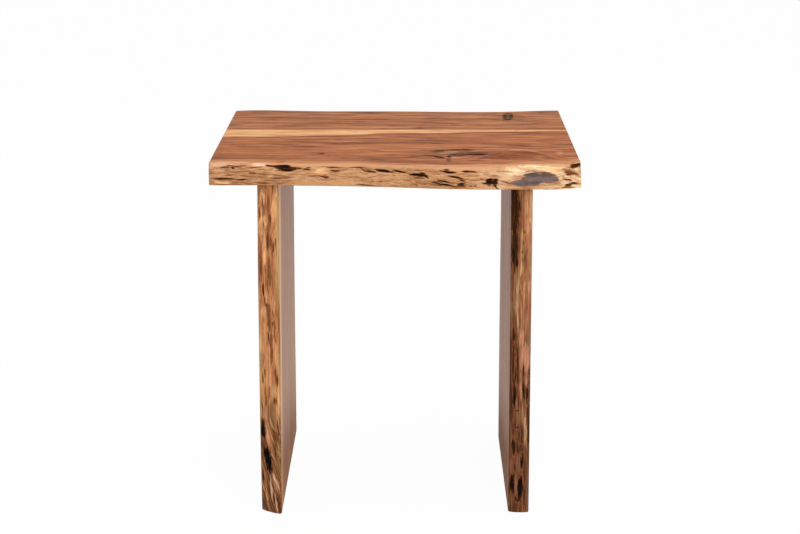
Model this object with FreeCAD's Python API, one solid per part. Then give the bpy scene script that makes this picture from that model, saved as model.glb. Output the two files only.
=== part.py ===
import FreeCAD, Part
import math
import os

# Live-edge side table: a two-board slab top on two slab legs, each leg glued up from two boards.
# Pegs locate the legs under the top, and a steel angle inside each leg holds it there.
# Millimetres, +Z up. The origin is on the floor under the middle of the top.
# The front of the table faces -Y, and the grain of the top runs along X.

V = FreeCAD.Vector

# Top
TOP_WIDTH = 610.0                # along the grain
TOP_DEPTH = 610.0                # over the fullest points of the two live edges
TOP_THICKNESS = 38.0
TABLE_HEIGHT = 610.0
TOP_BACK_BOARD_WIDTH = 234.0     # from the glue line to the fullest point at the back
TOP_FRONT_FALL = 58.0            # most that the front live edge falls back from its fullest point
TOP_BACK_FALL = 18.0
TOP_END_ROUND = 1.5              # eased arris along the sawn ends

# Legs
LEG_THICKNESS = 35.0
LEG_INSET = 77.0                 # from an end of the top to the outer face of the leg
LEFT_LEG_FRONT_SETBACK = 45.0    # from the fullest points of the top's live edges
LEFT_LEG_BACK_SETBACK = 79.0
LEFT_LEG_FRONT_FALL = 34.0
LEFT_LEG_BACK_FALL = 12.0
RIGHT_LEG_FRONT_SETBACK = 55.0
RIGHT_LEG_BACK_SETBACK = 115.0
RIGHT_LEG_FRONT_FALL = 26.0
RIGHT_LEG_BACK_FALL = 14.0

# Dowels across the glue lines, and the pegs between legs and top
DOWEL_DIAMETER = 10.0
DOWEL_LENGTH = 50.0
TOP_DOWEL_COUNT = 5
TOP_DOWEL_END_DISTANCE = 65.0    # from the ends of the top to the outermost dowels
LEG_DOWEL_COUNT = 4
LEG_DOWEL_END_DISTANCE = 75.0    # from the ends of a leg to its outermost dowels
PEG_DIAMETER = 12.0
PEG_DEPTH_IN_LEG = 22.0
PEG_DEPTH_IN_TOP = 18.0
PEG_EDGE_DISTANCE = 85.0         # from the fullest edges of a leg to its pegs
PEG_CHAMFER = 1.2
GLUE_GAP = 0.1                   # round a dowel or peg
PEG_END_GAP = 1.0                # room for glue at each end

# Steel angles
ANGLE_LEG = 30.0
ANGLE_STEEL = 3.0
ANGLE_ROOT_RADIUS = 4.0
ANGLE_LENGTH = 170.0
ANGLE_HOLE_LINE = 18.0           # from the heel of the angle to the holes in each flange

# Wood screws through the angle into the leg
SCREW_COUNT = 4
SCREW_PITCH = 40.0
SCREW_DIAMETER = 4.5
SCREW_LENGTH = 28.0
SCREW_TIP = 5.0
SCREW_HEAD_DIAMETER = 9.0
SCREW_HEAD_HEIGHT = 3.2
SCREW_HEAD_RIM = 1.2
SCREW_RECESS_SPAN = 4.4
SCREW_RECESS_WIDTH = 1.1
SCREW_RECESS_DEPTH = 1.8

# Button-head bolts through slots in the angle into threaded inserts in the top
BOLT_COUNT = 3
BOLT_PITCH = 40.0
BOLT_DIAMETER = 6.0
BOLT_LENGTH = 20.0
BOLT_POINT = 0.8
BOLT_HEAD_DIAMETER = 10.5
BOLT_HEAD_HEIGHT = 3.3
BOLT_HEAD_RIM = 0.8
BOLT_HEAD_FLAT = 5.5
BOLT_SOCKET_FLATS = 4.0
BOLT_SOCKET_DEPTH = 2.0
SLOT_TRAVEL = 6.0                # lets the top swell and shrink across its grain
WASHER_DIAMETER = 18.0
WASHER_THICKNESS = 1.6
INSERT_DIAMETER = 10.0
INSERT_LENGTH = 13.0
INSERT_HOLE_RELIEF = 4.0         # hole carried on past the insert, for the end of the bolt
HOLE_CLEARANCE = 0.5             # round a screw or bolt in steel
THREAD_GAP = 0.1                 # between plain stand-ins for threads

# Glides let into the feet, each held by one nail
GLIDE_DIAMETER = 22.0
GLIDE_THICKNESS = 3.0
GLIDE_PROUD = 1.0                # how far the glides stand below the feet
GLIDE_EDGE_DISTANCE = 60.0       # from the fullest edges of a leg to its glides
GLIDE_ROUND = 0.6
NAIL_DIAMETER = 2.5
NAIL_LENGTH = 18.0
NAIL_HEAD_DIAMETER = 6.0
NAIL_HEAD_THICKNESS = 1.0
NAIL_HEAD_SINK = 0.8             # from the running face of the glide up to the nail head

# Sawing surplus beyond the fullest point of a live edge, and past its ends and faces
EDGE_SURPLUS = 5.0
EDGE_OVERRUN = 1.0
SAME_PLACE = 0.01                # two places closer than this are one

# Live edges. Each row is the share of the length, then how far the edge has fallen back there,
# as shares of its fall. For the top: left to right; at the underside, mid-thickness, upper face.
TOP_FRONT_EDGE = (
    (0.00, 0.67, 0.62, 0.66),
    (0.08, 0.65, 0.63, 0.80),
    (0.16, 0.64, 0.62, 0.71),
    (0.35, 0.54, 0.50, 0.57),
    (0.50, 0.36, 0.28, 0.31),
    (0.63, 0.13, 0.03, 0.01),
    (0.75, 0.03, 0.05, 0.17),
    (0.88, 0.04, 0.24, 0.57),
    (1.00, 0.40, 0.62, 1.00),
)
TOP_BACK_EDGE = (
    (0.00, 0.75, 0.45, 0.45),
    (0.20, 0.22, 0.22, 0.45),
    (0.40, 0.18, 0.28, 0.68),
    (0.60, 0.50, 0.55, 0.88),
    (0.80, 0.68, 0.72, 1.00),
    (0.92, 0.55, 0.33, 0.33),
    (1.00, 0.33, 0.05, 0.00),
)
# For the legs: foot to top; at the inner face, mid-thickness, outer face.
LEFT_LEG_FRONT_EDGE = (
    (0.00, 0.06, 0.29, 0.79),
    (0.25, 0.24, 0.06, 0.29),
    (0.50, 0.53, 0.12, 0.18),
    (0.75, 0.76, 0.29, 0.29),
    (1.00, 1.00, 0.59, 0.65),
)
LEFT_LEG_BACK_EDGE = (
    (0.00, 0.30, 0.05, 0.40),
    (0.30, 0.75, 0.45, 0.60),
    (0.55, 1.00, 0.60, 0.85),
    (0.80, 0.50, 0.15, 0.45),
    (1.00, 0.35, 0.00, 0.20),
)
RIGHT_LEG_FRONT_EDGE = (
    (0.00, 0.31, 0.08, 0.15),
    (0.25, 0.15, 0.00, 0.12),
    (0.50, 0.31, 0.08, 0.12),
    (0.75, 0.62, 0.15, 0.15),
    (1.00, 1.00, 0.23, 0.19),
)
RIGHT_LEG_BACK_EDGE = (
    (0.00, 0.55, 0.20, 0.30),
    (0.30, 0.20, 0.00, 0.25),
    (0.60, 0.65, 0.35, 0.70),
    (0.85, 1.00, 0.70, 0.90),
    (1.00, 0.80, 0.55, 0.60),
)

# Places that follow from those sizes
TOP_UNDERSIDE = TABLE_HEIGHT - TOP_THICKNESS
TOP_END = TOP_WIDTH / 2
TOP_EDGE = TOP_DEPTH / 2
TOP_GLUE_LINE = TOP_EDGE - TOP_BACK_BOARD_WIDTH
LEG_INNER = TOP_END - LEG_INSET - LEG_THICKNESS
LEG_MID_THICKNESS = LEG_INNER + LEG_THICKNESS / 2
LEG_FOOT = GLIDE_PROUD
LEG_HEIGHT = TOP_UNDERSIDE - LEG_FOOT

X_AXIS = V(1, 0, 0)
Y_AXIS = V(0, 1, 0)
Z_AXIS = V(0, 0, 1)


def box(x0, x1, y0, y1, z0, z1):
    """Box between two corners, whichever way round they are given."""
    low = V(min(x0, x1), min(y0, y1), min(z0, z1))
    return Part.makeBox(abs(x1 - x0), abs(y1 - y0), abs(z1 - z0), low)


def rod(diameter, start, along, length):
    return Part.makeCylinder(diameter / 2, length, start, along)


def chamfered_peg(diameter, start, along, length):
    """Dowel with both ends chamfered."""
    plain = rod(diameter, start, along, length)
    rims = [edge for edge in plain.Edges if isinstance(edge.Curve, Part.Circle)]
    return plain.makeChamfer(PEG_CHAMFER, rims)


def evenly(first, last, count):
    """Places from first to last, evenly apart."""
    step = (last - first) / (count - 1)
    return [first + step * index for index in range(count)]


def row_about(middle, pitch, count):
    """Places at a fixed pitch, centred on middle."""
    reach = pitch * (count - 1) / 2
    return evenly(middle - reach, middle + reach, count)


def turned(outline):
    """Solid of revolution about Z from (radius, height) points, joined by straight lines."""
    points = [V(radius, 0, height) for radius, height in outline]
    wire = Part.makePolygon(points + points[:1])
    return Part.Face(wire).revolve(V(0, 0, 0), Z_AXIS, 360)


def set_along(shape, start, along):
    """Copy of a shape made on Z, with its origin at start and its Z axis along a direction."""
    placed = shape.copy()
    placed.Placement = FreeCAD.Placement(start, FreeCAD.Rotation(Z_AXIS, along))
    return placed


def live_edge_waste(edge, fall, length, thickness, place, outward):
    """What is sawn away outside a live edge: its curved face, pushed outwards.

    place(along, across, setback) gives the point of the board at those distances.
    """
    across_places = (-EDGE_OVERRUN, thickness / 2, thickness + EDGE_OVERRUN)
    rows = []
    for share, *setbacks in edge:
        along = -EDGE_OVERRUN + share * (length + 2 * EDGE_OVERRUN)
        rows.append([
            place(along, across, fall * setback)
            for across, setback in zip(across_places, setbacks)
        ])
    surface = Part.BSplineSurface()
    surface.interpolate(rows)
    waste = surface.toShape().extrude(outward * (fall + 2 * EDGE_SURPLUS))
    if waste.Volume < 0:
        waste.reverse()
    return waste


def ease_ends(board):
    """Round the arrises along both sawn ends of a top board."""
    def on_end_arris(edge):
        bounds = edge.BoundBox
        at_end = abs(abs(bounds.Center.x) - TOP_END) < SAME_PLACE
        return at_end and bounds.ZLength < SAME_PLACE and bounds.XLength < SAME_PLACE
    return board.makeFillet(TOP_END_ROUND, [edge for edge in board.Edges if on_end_arris(edge)])


def top_dowel_places():
    reach = TOP_END - TOP_DOWEL_END_DISTANCE
    return evenly(-reach, reach, TOP_DOWEL_COUNT)


def top_boards():
    """Front and back board of the top, before the fixings are drilled."""
    front_waste = live_edge_waste(
        TOP_FRONT_EDGE, TOP_FRONT_FALL, TOP_WIDTH, TOP_THICKNESS,
        lambda along, across, setback: V(along - TOP_END, setback - TOP_EDGE, TOP_UNDERSIDE + across),
        -Y_AXIS,
    )
    back_waste = live_edge_waste(
        TOP_BACK_EDGE, TOP_BACK_FALL, TOP_WIDTH, TOP_THICKNESS,
        lambda along, across, setback: V(along - TOP_END, TOP_EDGE - setback, TOP_UNDERSIDE + across),
        Y_AXIS,
    )
    outer = TOP_EDGE + EDGE_SURPLUS
    front = box(-TOP_END, TOP_END, -outer, TOP_GLUE_LINE, TOP_UNDERSIDE, TABLE_HEIGHT)
    back = box(-TOP_END, TOP_END, TOP_GLUE_LINE, outer, TOP_UNDERSIDE, TABLE_HEIGHT)
    return ease_ends(front.cut(front_waste)), ease_ends(back.cut(back_waste))


def glue_line_dowels(centres):
    """Dowels lying along Y across a glue line."""
    half_length = Y_AXIS * (DOWEL_LENGTH / 2)
    return [
        chamfered_peg(DOWEL_DIAMETER, centre - half_length, Y_AXIS, DOWEL_LENGTH)
        for centre in centres
    ]


def glue_line_holes(centres):
    """Holes for those dowels, with room for glue all round."""
    diameter = DOWEL_DIAMETER + 2 * GLUE_GAP
    length = DOWEL_LENGTH + 2 * PEG_END_GAP
    return [rod(diameter, centre - Y_AXIS * (length / 2), Y_AXIS, length) for centre in centres]


def wood_screw():
    """Pan-head wood screw on Z: the head's bearing face at zero, the shank upwards."""
    shank = SCREW_DIAMETER / 2
    head = SCREW_HEAD_DIAMETER / 2
    crown = head - SCREW_HEAD_RIM
    screw = turned([
        (0, -SCREW_HEAD_HEIGHT),
        (crown, -SCREW_HEAD_HEIGHT),
        (head, -SCREW_HEAD_RIM),
        (head, 0),
        (shank, 0),
        (shank, SCREW_LENGTH - SCREW_TIP),
        (0, SCREW_LENGTH),
    ])
    half_span = SCREW_RECESS_SPAN / 2
    half_width = SCREW_RECESS_WIDTH / 2
    floor = SCREW_RECESS_DEPTH - SCREW_HEAD_HEIGHT
    below = -SCREW_HEAD_HEIGHT - SCREW_HEAD_RIM
    bar = box(-half_span, half_span, -half_width, half_width, below, floor)
    cross_bar = box(-half_width, half_width, -half_span, half_span, below, floor)
    return screw.cut(bar.fuse(cross_bar))


def button_bolt():
    """Button-head bolt on Z: the head's bearing face at zero, the shank upwards."""
    shank = BOLT_DIAMETER / 2
    head = BOLT_HEAD_DIAMETER / 2
    flat = BOLT_HEAD_FLAT / 2
    crown_height = BOLT_HEAD_HEIGHT - BOLT_HEAD_RIM
    crown_mid = V(
        flat + (head - flat) * math.sin(math.pi / 4),
        0,
        -BOLT_HEAD_RIM - crown_height * math.sin(math.pi / 4),
    )
    corners = [
        V(flat, 0, -BOLT_HEAD_HEIGHT),
        V(0, 0, -BOLT_HEAD_HEIGHT),
        V(0, 0, BOLT_LENGTH),
        V(shank - BOLT_POINT, 0, BOLT_LENGTH),
        V(shank, 0, BOLT_LENGTH - BOLT_POINT),
        V(shank, 0, 0),
        V(head, 0, 0),
        V(head, 0, -BOLT_HEAD_RIM),
    ]
    edges = [Part.LineSegment(a, b).toShape() for a, b in zip(corners, corners[1:])]
    edges.append(Part.Arc(corners[-1], crown_mid, corners[0]).toShape())
    bolt = Part.Face(Part.Wire(edges)).revolve(V(0, 0, 0), Z_AXIS, 360)
    corner_radius = BOLT_SOCKET_FLATS / 2 / math.cos(math.pi / 6)
    hexagon = [
        V(corner_radius * math.cos(turn), corner_radius * math.sin(turn), -BOLT_HEAD_HEIGHT)
        for turn in (index * math.pi / 3 for index in range(7))
    ]
    socket = Part.Face(Part.makePolygon(hexagon)).extrude(Z_AXIS * BOLT_SOCKET_DEPTH)
    return bolt.cut(socket)


def washer():
    ring = rod(WASHER_DIAMETER, V(0, 0, 0), Z_AXIS, WASHER_THICKNESS)
    return ring.cut(rod(BOLT_DIAMETER + HOLE_CLEARANCE, V(0, 0, 0), Z_AXIS, WASHER_THICKNESS))


def threaded_insert():
    sleeve = rod(INSERT_DIAMETER, V(0, 0, 0), Z_AXIS, INSERT_LENGTH)
    return sleeve.cut(rod(BOLT_DIAMETER + 2 * THREAD_GAP, V(0, 0, 0), Z_AXIS, INSERT_LENGTH))


def glide():
    """Nylon glide, running face at zero, with a well for the nail head and a hole for its shank."""
    disc = rod(GLIDE_DIAMETER, V(0, 0, 0), Z_AXIS, GLIDE_THICKNESS)
    rim = [edge for edge in disc.Edges if edge.BoundBox.ZMax < GLIDE_ROUND]
    disc = disc.makeFillet(GLIDE_ROUND, rim)
    well_depth = NAIL_HEAD_SINK + NAIL_HEAD_THICKNESS
    well = rod(NAIL_HEAD_DIAMETER + 2 * THREAD_GAP, V(0, 0, 0), Z_AXIS, well_depth)
    hole = rod(NAIL_DIAMETER + 2 * THREAD_GAP, V(0, 0, 0), Z_AXIS, GLIDE_THICKNESS)
    return disc.cut(well.fuse(hole))


def nail():
    """Nail on Z, point upwards, standing where it sits in a glide at height zero."""
    shank = NAIL_DIAMETER / 2
    head = NAIL_HEAD_DIAMETER / 2
    under_head = NAIL_HEAD_SINK + NAIL_HEAD_THICKNESS
    tip = NAIL_HEAD_SINK + NAIL_LENGTH
    return turned([
        (0, NAIL_HEAD_SINK),
        (head, NAIL_HEAD_SINK),
        (head, under_head),
        (shank, under_head),
        (shank, tip - NAIL_DIAMETER),
        (0, tip),
    ])


def steel_angle(side, middle):
    """Angle iron along Y in the corner between a leg's inner face and the underside of the top."""
    def corner(from_leg, below_top):
        return V(side * (LEG_INNER - from_leg), middle - ANGLE_LENGTH / 2, TOP_UNDERSIDE - below_top)

    root = ANGLE_STEEL + ANGLE_ROOT_RADIUS
    root_mid = root - ANGLE_ROOT_RADIUS * math.sin(math.pi / 4)
    corners = [
        corner(ANGLE_STEEL, root),
        corner(ANGLE_STEEL, ANGLE_LEG),
        corner(0, ANGLE_LEG),
        corner(0, 0),
        corner(ANGLE_LEG, 0),
        corner(ANGLE_LEG, ANGLE_STEEL),
        corner(root, ANGLE_STEEL),
    ]
    edges = [Part.LineSegment(a, b).toShape() for a, b in zip(corners, corners[1:])]
    edges.append(Part.Arc(corners[-1], corner(root_mid, root_mid), corners[0]).toShape())
    return Part.Face(Part.Wire(edges)).extrude(Y_AXIS * ANGLE_LENGTH)


def bolt_slot(centre):
    """Slot through the upper flange, long across the grain of the top."""
    width = BOLT_DIAMETER + 2 * HOLE_CLEARANCE
    half_travel = SLOT_TRAVEL / 2
    middle = box(
        centre.x - width / 2, centre.x + width / 2,
        centre.y - half_travel, centre.y + half_travel,
        centre.z - ANGLE_STEEL, centre.z,
    )
    start = centre - Z_AXIS * ANGLE_STEEL
    ends = [
        rod(width, start + Y_AXIS * offset, Z_AXIS, ANGLE_STEEL)
        for offset in (-half_travel, half_travel)
    ]
    return middle.fuse(ends)


def leg_boards(side, front, back, glue_line, front_edge, front_fall, back_edge, back_fall):
    """Front and back board of one leg, before the fixings are drilled."""
    def across_leg(across):
        return side * (LEG_INNER + across)

    front_waste = live_edge_waste(
        front_edge, front_fall, LEG_HEIGHT, LEG_THICKNESS,
        lambda along, across, setback: V(across_leg(across), front + setback, LEG_FOOT + along),
        -Y_AXIS,
    )
    back_waste = live_edge_waste(
        back_edge, back_fall, LEG_HEIGHT, LEG_THICKNESS,
        lambda along, across, setback: V(across_leg(across), back - setback, LEG_FOOT + along),
        Y_AXIS,
    )
    inner = across_leg(0)
    outer = across_leg(LEG_THICKNESS)
    front_blank = box(inner, outer, front - EDGE_SURPLUS, glue_line, LEG_FOOT, TOP_UNDERSIDE)
    back_blank = box(inner, outer, glue_line, back + EDGE_SURPLUS, LEG_FOOT, TOP_UNDERSIDE)
    return front_blank.cut(front_waste), back_blank.cut(back_waste)


def leg_assembly(side, front_setback, back_setback, front_edge, front_fall, back_edge, back_fall):
    """One leg with all that joins it to the top.

    Returns its pieces by name, and the holes that it needs in the top.
    """
    front = front_setback - TOP_EDGE
    back = TOP_EDGE - back_setback
    middle = (front + back) / 2
    # The glue line passes midway between two screws, so that each screw bites in solid wood.
    glue_line = middle + SCREW_PITCH
    inner = side * LEG_INNER
    outward = X_AXIS * side
    mid_thickness = side * LEG_MID_THICKNESS

    front_board, back_board = leg_boards(
        side, front, back, glue_line, front_edge, front_fall, back_edge, back_fall)

    lowest_dowel = LEG_FOOT + LEG_DOWEL_END_DISTANCE
    highest_dowel = TOP_UNDERSIDE - LEG_DOWEL_END_DISTANCE
    dowel_points = [
        V(mid_thickness, glue_line, z)
        for z in evenly(lowest_dowel, highest_dowel, LEG_DOWEL_COUNT)
    ]
    leg_holes = glue_line_holes(dowel_points)

    peg_starts = [
        V(mid_thickness, y, TOP_UNDERSIDE - PEG_DEPTH_IN_LEG)
        for y in (front + PEG_EDGE_DISTANCE, back - PEG_EDGE_DISTANCE)
    ]
    peg_length = PEG_DEPTH_IN_LEG + PEG_DEPTH_IN_TOP
    peg_hole_length = peg_length + 2 * PEG_END_GAP
    peg_holes = [
        rod(PEG_DIAMETER + 2 * GLUE_GAP, start - Z_AXIS * PEG_END_GAP, Z_AXIS, peg_hole_length)
        for start in peg_starts
    ]

    angle = steel_angle(side, middle)
    flange_face = inner - outward.x * ANGLE_STEEL
    screw_line = TOP_UNDERSIDE - ANGLE_HOLE_LINE
    screw_seats = [V(flange_face, y, screw_line) for y in row_about(middle, SCREW_PITCH, SCREW_COUNT)]
    for seat in screw_seats:
        angle = angle.cut(rod(SCREW_DIAMETER + 2 * HOLE_CLEARANCE, seat, outward, ANGLE_STEEL))
        leg_holes.append(rod(SCREW_DIAMETER + 2 * THREAD_GAP, seat, outward, SCREW_LENGTH))

    bolt_line = side * (LEG_INNER - ANGLE_HOLE_LINE)
    insert_mouths = [V(bolt_line, y, TOP_UNDERSIDE) for y in row_about(middle, BOLT_PITCH, BOLT_COUNT)]
    bolt_hole_depth = INSERT_LENGTH + INSERT_HOLE_RELIEF
    top_holes = list(peg_holes)
    for mouth in insert_mouths:
        angle = angle.cut(bolt_slot(mouth))
        top_holes.append(rod(INSERT_DIAMETER + 2 * THREAD_GAP, mouth, Z_AXIS, INSERT_LENGTH))
        top_holes.append(rod(BOLT_DIAMETER + 2 * THREAD_GAP, mouth, Z_AXIS, bolt_hole_depth))
    washer_seat = V(0, 0, ANGLE_STEEL + WASHER_THICKNESS)

    glide_places = [
        V(mid_thickness, y, 0)
        for y in (front + GLIDE_EDGE_DISTANCE, back - GLIDE_EDGE_DISTANCE)
    ]
    for place in glide_places:
        leg_holes.append(rod(GLIDE_DIAMETER + 2 * THREAD_GAP, place, Z_AXIS, GLIDE_THICKNESS))
        leg_holes.append(rod(NAIL_DIAMETER + 2 * THREAD_GAP, place, Z_AXIS, NAIL_HEAD_SINK + NAIL_LENGTH))

    screw = wood_screw()
    bolt = button_bolt()
    pegs = [chamfered_peg(PEG_DIAMETER, start, Z_AXIS, peg_length) for start in peg_starts]
    pieces = {
        "leg_front_board": front_board.cut(peg_holes + leg_holes),
        "leg_back_board": back_board.cut(peg_holes + leg_holes),
        "leg_joint_dowels": glue_line_dowels(dowel_points),
        "leg_locating_pegs": pegs,
        "steel_angle": angle,
        "angle_leg_screws": [set_along(screw, seat, outward) for seat in screw_seats],
        "angle_top_bolts": [set_along(bolt, mouth - washer_seat, Z_AXIS) for mouth in insert_mouths],
        "angle_washers": [set_along(washer(), mouth - washer_seat, Z_AXIS) for mouth in insert_mouths],
        "top_inserts": [set_along(threaded_insert(), mouth, Z_AXIS) for mouth in insert_mouths],
        "leg_glides": [set_along(glide(), place, Z_AXIS) for place in glide_places],
        "glide_nails": [set_along(nail(), place, Z_AXIS) for place in glide_places],
    }
    return pieces, top_holes


def main():
    left, left_holes = leg_assembly(
        -1, LEFT_LEG_FRONT_SETBACK, LEFT_LEG_BACK_SETBACK,
        LEFT_LEG_FRONT_EDGE, LEFT_LEG_FRONT_FALL, LEFT_LEG_BACK_EDGE, LEFT_LEG_BACK_FALL)
    right, right_holes = leg_assembly(
        1, RIGHT_LEG_FRONT_SETBACK, RIGHT_LEG_BACK_SETBACK,
        RIGHT_LEG_FRONT_EDGE, RIGHT_LEG_FRONT_FALL, RIGHT_LEG_BACK_EDGE, RIGHT_LEG_BACK_FALL)

    mid_top = TOP_UNDERSIDE + TOP_THICKNESS / 2
    dowel_points = [V(x, TOP_GLUE_LINE, mid_top) for x in top_dowel_places()]
    top_holes = left_holes + right_holes + glue_line_holes(dowel_points)
    front_board, back_board = top_boards()
    pieces = {
        "top_front_board": front_board.cut(top_holes),
        "top_back_board": back_board.cut(top_holes),
        "top_joint_dowels": glue_line_dowels(dowel_points),
    }
    for side_name, leg in (("left", left), ("right", right)):
        for piece_name, shape in leg.items():
            pieces[side_name + "_" + piece_name] = shape

    os.makedirs("parts", exist_ok=True)
    for name, shape in pieces.items():
        solids = shape if isinstance(shape, list) else shape.Solids
        whole = solids[0] if len(solids) == 1 else Part.makeCompound(solids)
        whole.exportStep(os.path.join("parts", name + ".step"))
        print(name, len(solids), "solids", round(whole.Volume / 1000, 2), "cm3", whole.isValid())


main()
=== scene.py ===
import math
import random

import bpy
import numpy as np
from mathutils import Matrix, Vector, noise
from mathutils.bvhtree import BVHTree


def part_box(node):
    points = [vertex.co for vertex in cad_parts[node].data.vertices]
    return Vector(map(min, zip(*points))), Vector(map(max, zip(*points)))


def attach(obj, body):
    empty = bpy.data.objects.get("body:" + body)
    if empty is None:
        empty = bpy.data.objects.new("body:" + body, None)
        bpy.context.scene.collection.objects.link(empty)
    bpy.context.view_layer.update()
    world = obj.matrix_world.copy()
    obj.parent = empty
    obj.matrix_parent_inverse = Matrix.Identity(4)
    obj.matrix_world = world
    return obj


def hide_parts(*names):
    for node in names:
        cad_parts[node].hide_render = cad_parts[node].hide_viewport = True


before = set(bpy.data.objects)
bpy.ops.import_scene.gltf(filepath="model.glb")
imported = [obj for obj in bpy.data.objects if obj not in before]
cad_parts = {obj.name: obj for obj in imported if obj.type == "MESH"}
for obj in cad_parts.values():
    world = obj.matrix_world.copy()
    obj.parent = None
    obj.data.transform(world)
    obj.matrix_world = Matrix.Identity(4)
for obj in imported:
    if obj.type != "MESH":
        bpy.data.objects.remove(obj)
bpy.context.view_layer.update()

# Looks of a live-edge side table. Lengths are metres;
# lists of hollows, patches, wear, eyes and marks are in millimetres and degrees.
# X runs along the grain of the top, Z along the grain of the legs, and the front faces -Y.

MM = 0.001

# How finely the boards are meshed
ALONG_STEP = 1.3 * MM
EDGE_POINTS = 56              # across a live edge, from face to face
FACE_POINTS = 22              # across a broad face, closer together near the live edge
FACE_CROWDING = 1.7
EDGE_EVENNESS = 0.62          # share of even spacing across a live edge; the rest crowds at its arrises
ARRIS_ROUND = 2.4 * MM        # where a live edge meets a broad face
TOP_ARRIS_ROUND = 4.2 * MM    # round the upper side of the top, which is sanded more
END_ROUND = 1.4 * MM          # along the sawn ends
END_ROUND_STEPS = 4
RAY_START = 60 * MM           # how far outside a board the search for its live edge begins
FACE_INSET = 0.4 * MM         # keeps that search off the very rim of the board
END_INSET = 2.0 * MM
SHARP_ANGLE = 50              # degrees between faces that stay sharp

# Relief of the live edges
RIDGE_DEPTH = 1.1 * MM
RIDGE_LENGTH = 34 * MM
RIDGE_WIDTH = 4.5 * MM
FINE_RIDGES = 3.1             # how much finer the second set of ridges is
FINE_SHARE = 0.25             # and its share of the height
VALLEY_FADE = (0.62, 0.36)    # heights at which a valley between ridges begins and is deepest
RELIEF_FROM_FACE = 1.3 * ARRIS_ROUND    # how far from a face and a sawn end the relief is full
RELIEF_FROM_END = 2 * END_ROUND
HOLLOW_SLOPE = (1.05, 0.25)   # where a hollow begins and is deepest, in shares of its half size
HOLLOW_SHADE = (1.60, 0.35)   # the same for its dark colour
WOBBLE_ALONG = 2.6 * MM       # how ragged the outlines of hollows and patches are
WOBBLE_ACROSS = 0.8 * MM
WOBBLE_SIZE = 7.0 * MM
WOBBLE_DRAWN_OUT = 0.4        # how much less often the wobble changes along the grain
WOBBLE_SEED = 7
TEAR_LENGTH = 11.0 * MM       # splinters that tear those outlines along the grain
TEAR_WIDTH = 1.3 * MM
TEAR_SHARE = 0.45
BARK_TEAR = 0.7               # bark tears less
BARK_SOFTNESS = 0.3           # how gradually a patch ends, as a share of its size
TINT_SOFTNESS = 0.75

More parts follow.
